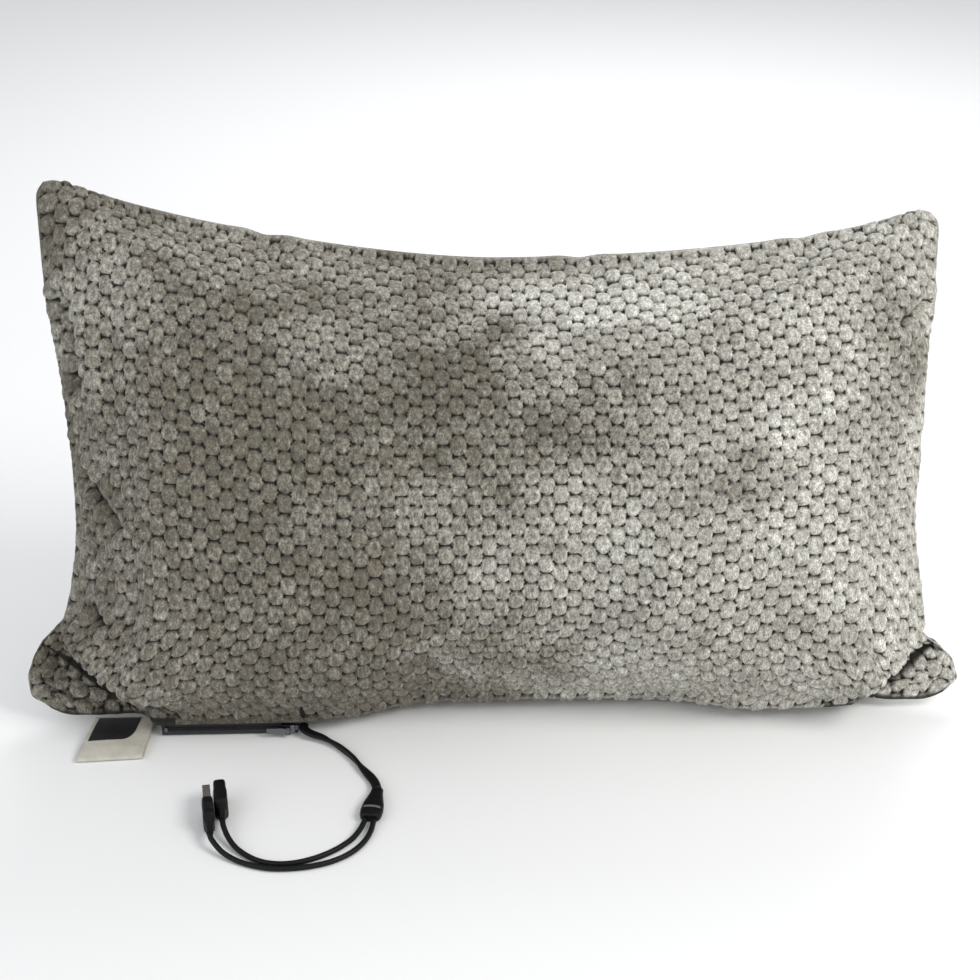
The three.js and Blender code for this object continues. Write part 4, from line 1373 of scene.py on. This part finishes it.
def bandPoints(p, s, t):
    # x runs between the sewn edges and the fold's edges as t nears the fold, y and z follow the
    # profile; the upper layer bows by bow (1 - (2 s - 1)^2) sin(pi r), r its reach to the fold,
    # and y moves by slant (s - 0.5) r
    profile, length = smoothPath([(0, y, z) for y, z in p["profile"]], 200)
    y, z = (np.interp(t, np.linspace(0, 1, len(profile)), profile[:, k]) for k in (1, 2))
    reach = (p["profile"][0][0] - y) / (p["profile"][0][0] - profile[:, 1].min())
    left = p["sewn"][0] + (p["fold"][0] - p["sewn"][0]) * reach
    right = p["sewn"][1] + (p["fold"][1] - p["sewn"][1]) * reach
    bow = p["bow"] * (1 - (2 * s - 1) ** 2) * np.sin(np.pi * reach) * (t < 0.5)
    slant = p["slant"] * (s - 0.5) * reach
    return np.stack([left + (right - left) * s, y + slant, z + bow], -1) * millimetre, length


def thickSheet(name, points, faces, thickness):
    # a sheet given its wall by Solidify, applied
    sheet = meshPiece(name, points, faces)
    wall = sheet.modifiers.new("wall", "SOLIDIFY")
    wall.thickness = thickness * millimetre
    wall.offset = 0
    depsgraph = bpy.context.evaluated_depsgraph_get()
    finished = bpy.data.meshes.new_from_object(sheet.evaluated_get(depsgraph))
    sheet.modifiers.clear()
    sheet.data = finished
    return sheet


def makeLabel(p):
    s, t = np.meshgrid(np.linspace(0, 1, 41), np.linspace(0, 1, 141))
    points, length = bandPoints(p, s, t)
    index = np.arange(points[..., 0].size).reshape(s.shape)
    band = thickSheet("satin_label", points, gridFaces(index)[:, ::-1], p["thickness"])
    dress(band, satinPaint("label_satin", (0.50, 0.47, 0.40), (0.64, 0.62, 0.55)))
    # the patch has one rounded corner: its right edge runs in by runIn (1 - sqrt(1 - 0.98 v^2))
    s, t = np.meshgrid(np.linspace(0, 1, 33), np.linspace(0, 1, 31))
    v = ((t - (1 - p["patchCorner"])) / p["patchCorner"]).clip(0, 1)
    right = 1 - p["patchRunIn"] * (1 - np.sqrt(1 - 0.98 * v * v))
    across = p["patchAcross"][0] + (p["patchAcross"][1] - p["patchAcross"][0]) * s * right
    along = p["patchAlong"][0] + (p["patchAlong"][1] - p["patchAlong"][0]) * t
    points, _ = bandPoints(p, across, along)
    points[..., 2] += p["patchLift"] * millimetre
    index = np.arange(s.size).reshape(s.shape)
    patch = thickSheet("label_print", points, gridFaces(index)[:, ::-1], p["patchThickness"])
    dress(patch, patchWeave)
    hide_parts("label_band")
    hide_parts("label_patch")
    middle = (p["sewn"][0] + p["sewn"][1]) / 2 * millimetre
    for piece in (band, patch):
        p["turnFrom"] * millimetre
        p["turnTo"] * millimetre
        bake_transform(piece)
    width = (p["sewn"][1] - p["sewn"][0]) * millimetre
    print("label made, %.4f m by %.4f m when flat" % (width, length * millimetre))


makeLabel(label)


# cords, dressed and shown in place of the CAD cables
for name, (piece, path, length, diameter, farEnd, ridden) in cords.items():
    dress(piece, jacket)
    standIn(piece, "cable_jacket", f"cable_{name}")


# floor
def makeFloor(settings):
    # colour to 0.985 colour by a slow noise
    r = settings["floorReach"]
    floor = meshPiece("floor", [(-r, -r, 0), (r, -r, 0), (r, r, 0), (-r, r, 0)], [(0, 1, 2, 3)], False)
    paint = Paint("floor", Roughness=0.9)
    cloud = paint.noise(3, 2)
    shade = tuple(c * 0.985 for c in settings["floorColour"])
    paint.feed("Base Color", paint.mix(cloud, settings["floorColour"], shade))
    dress(floor, paint)


makeFloor(studio)
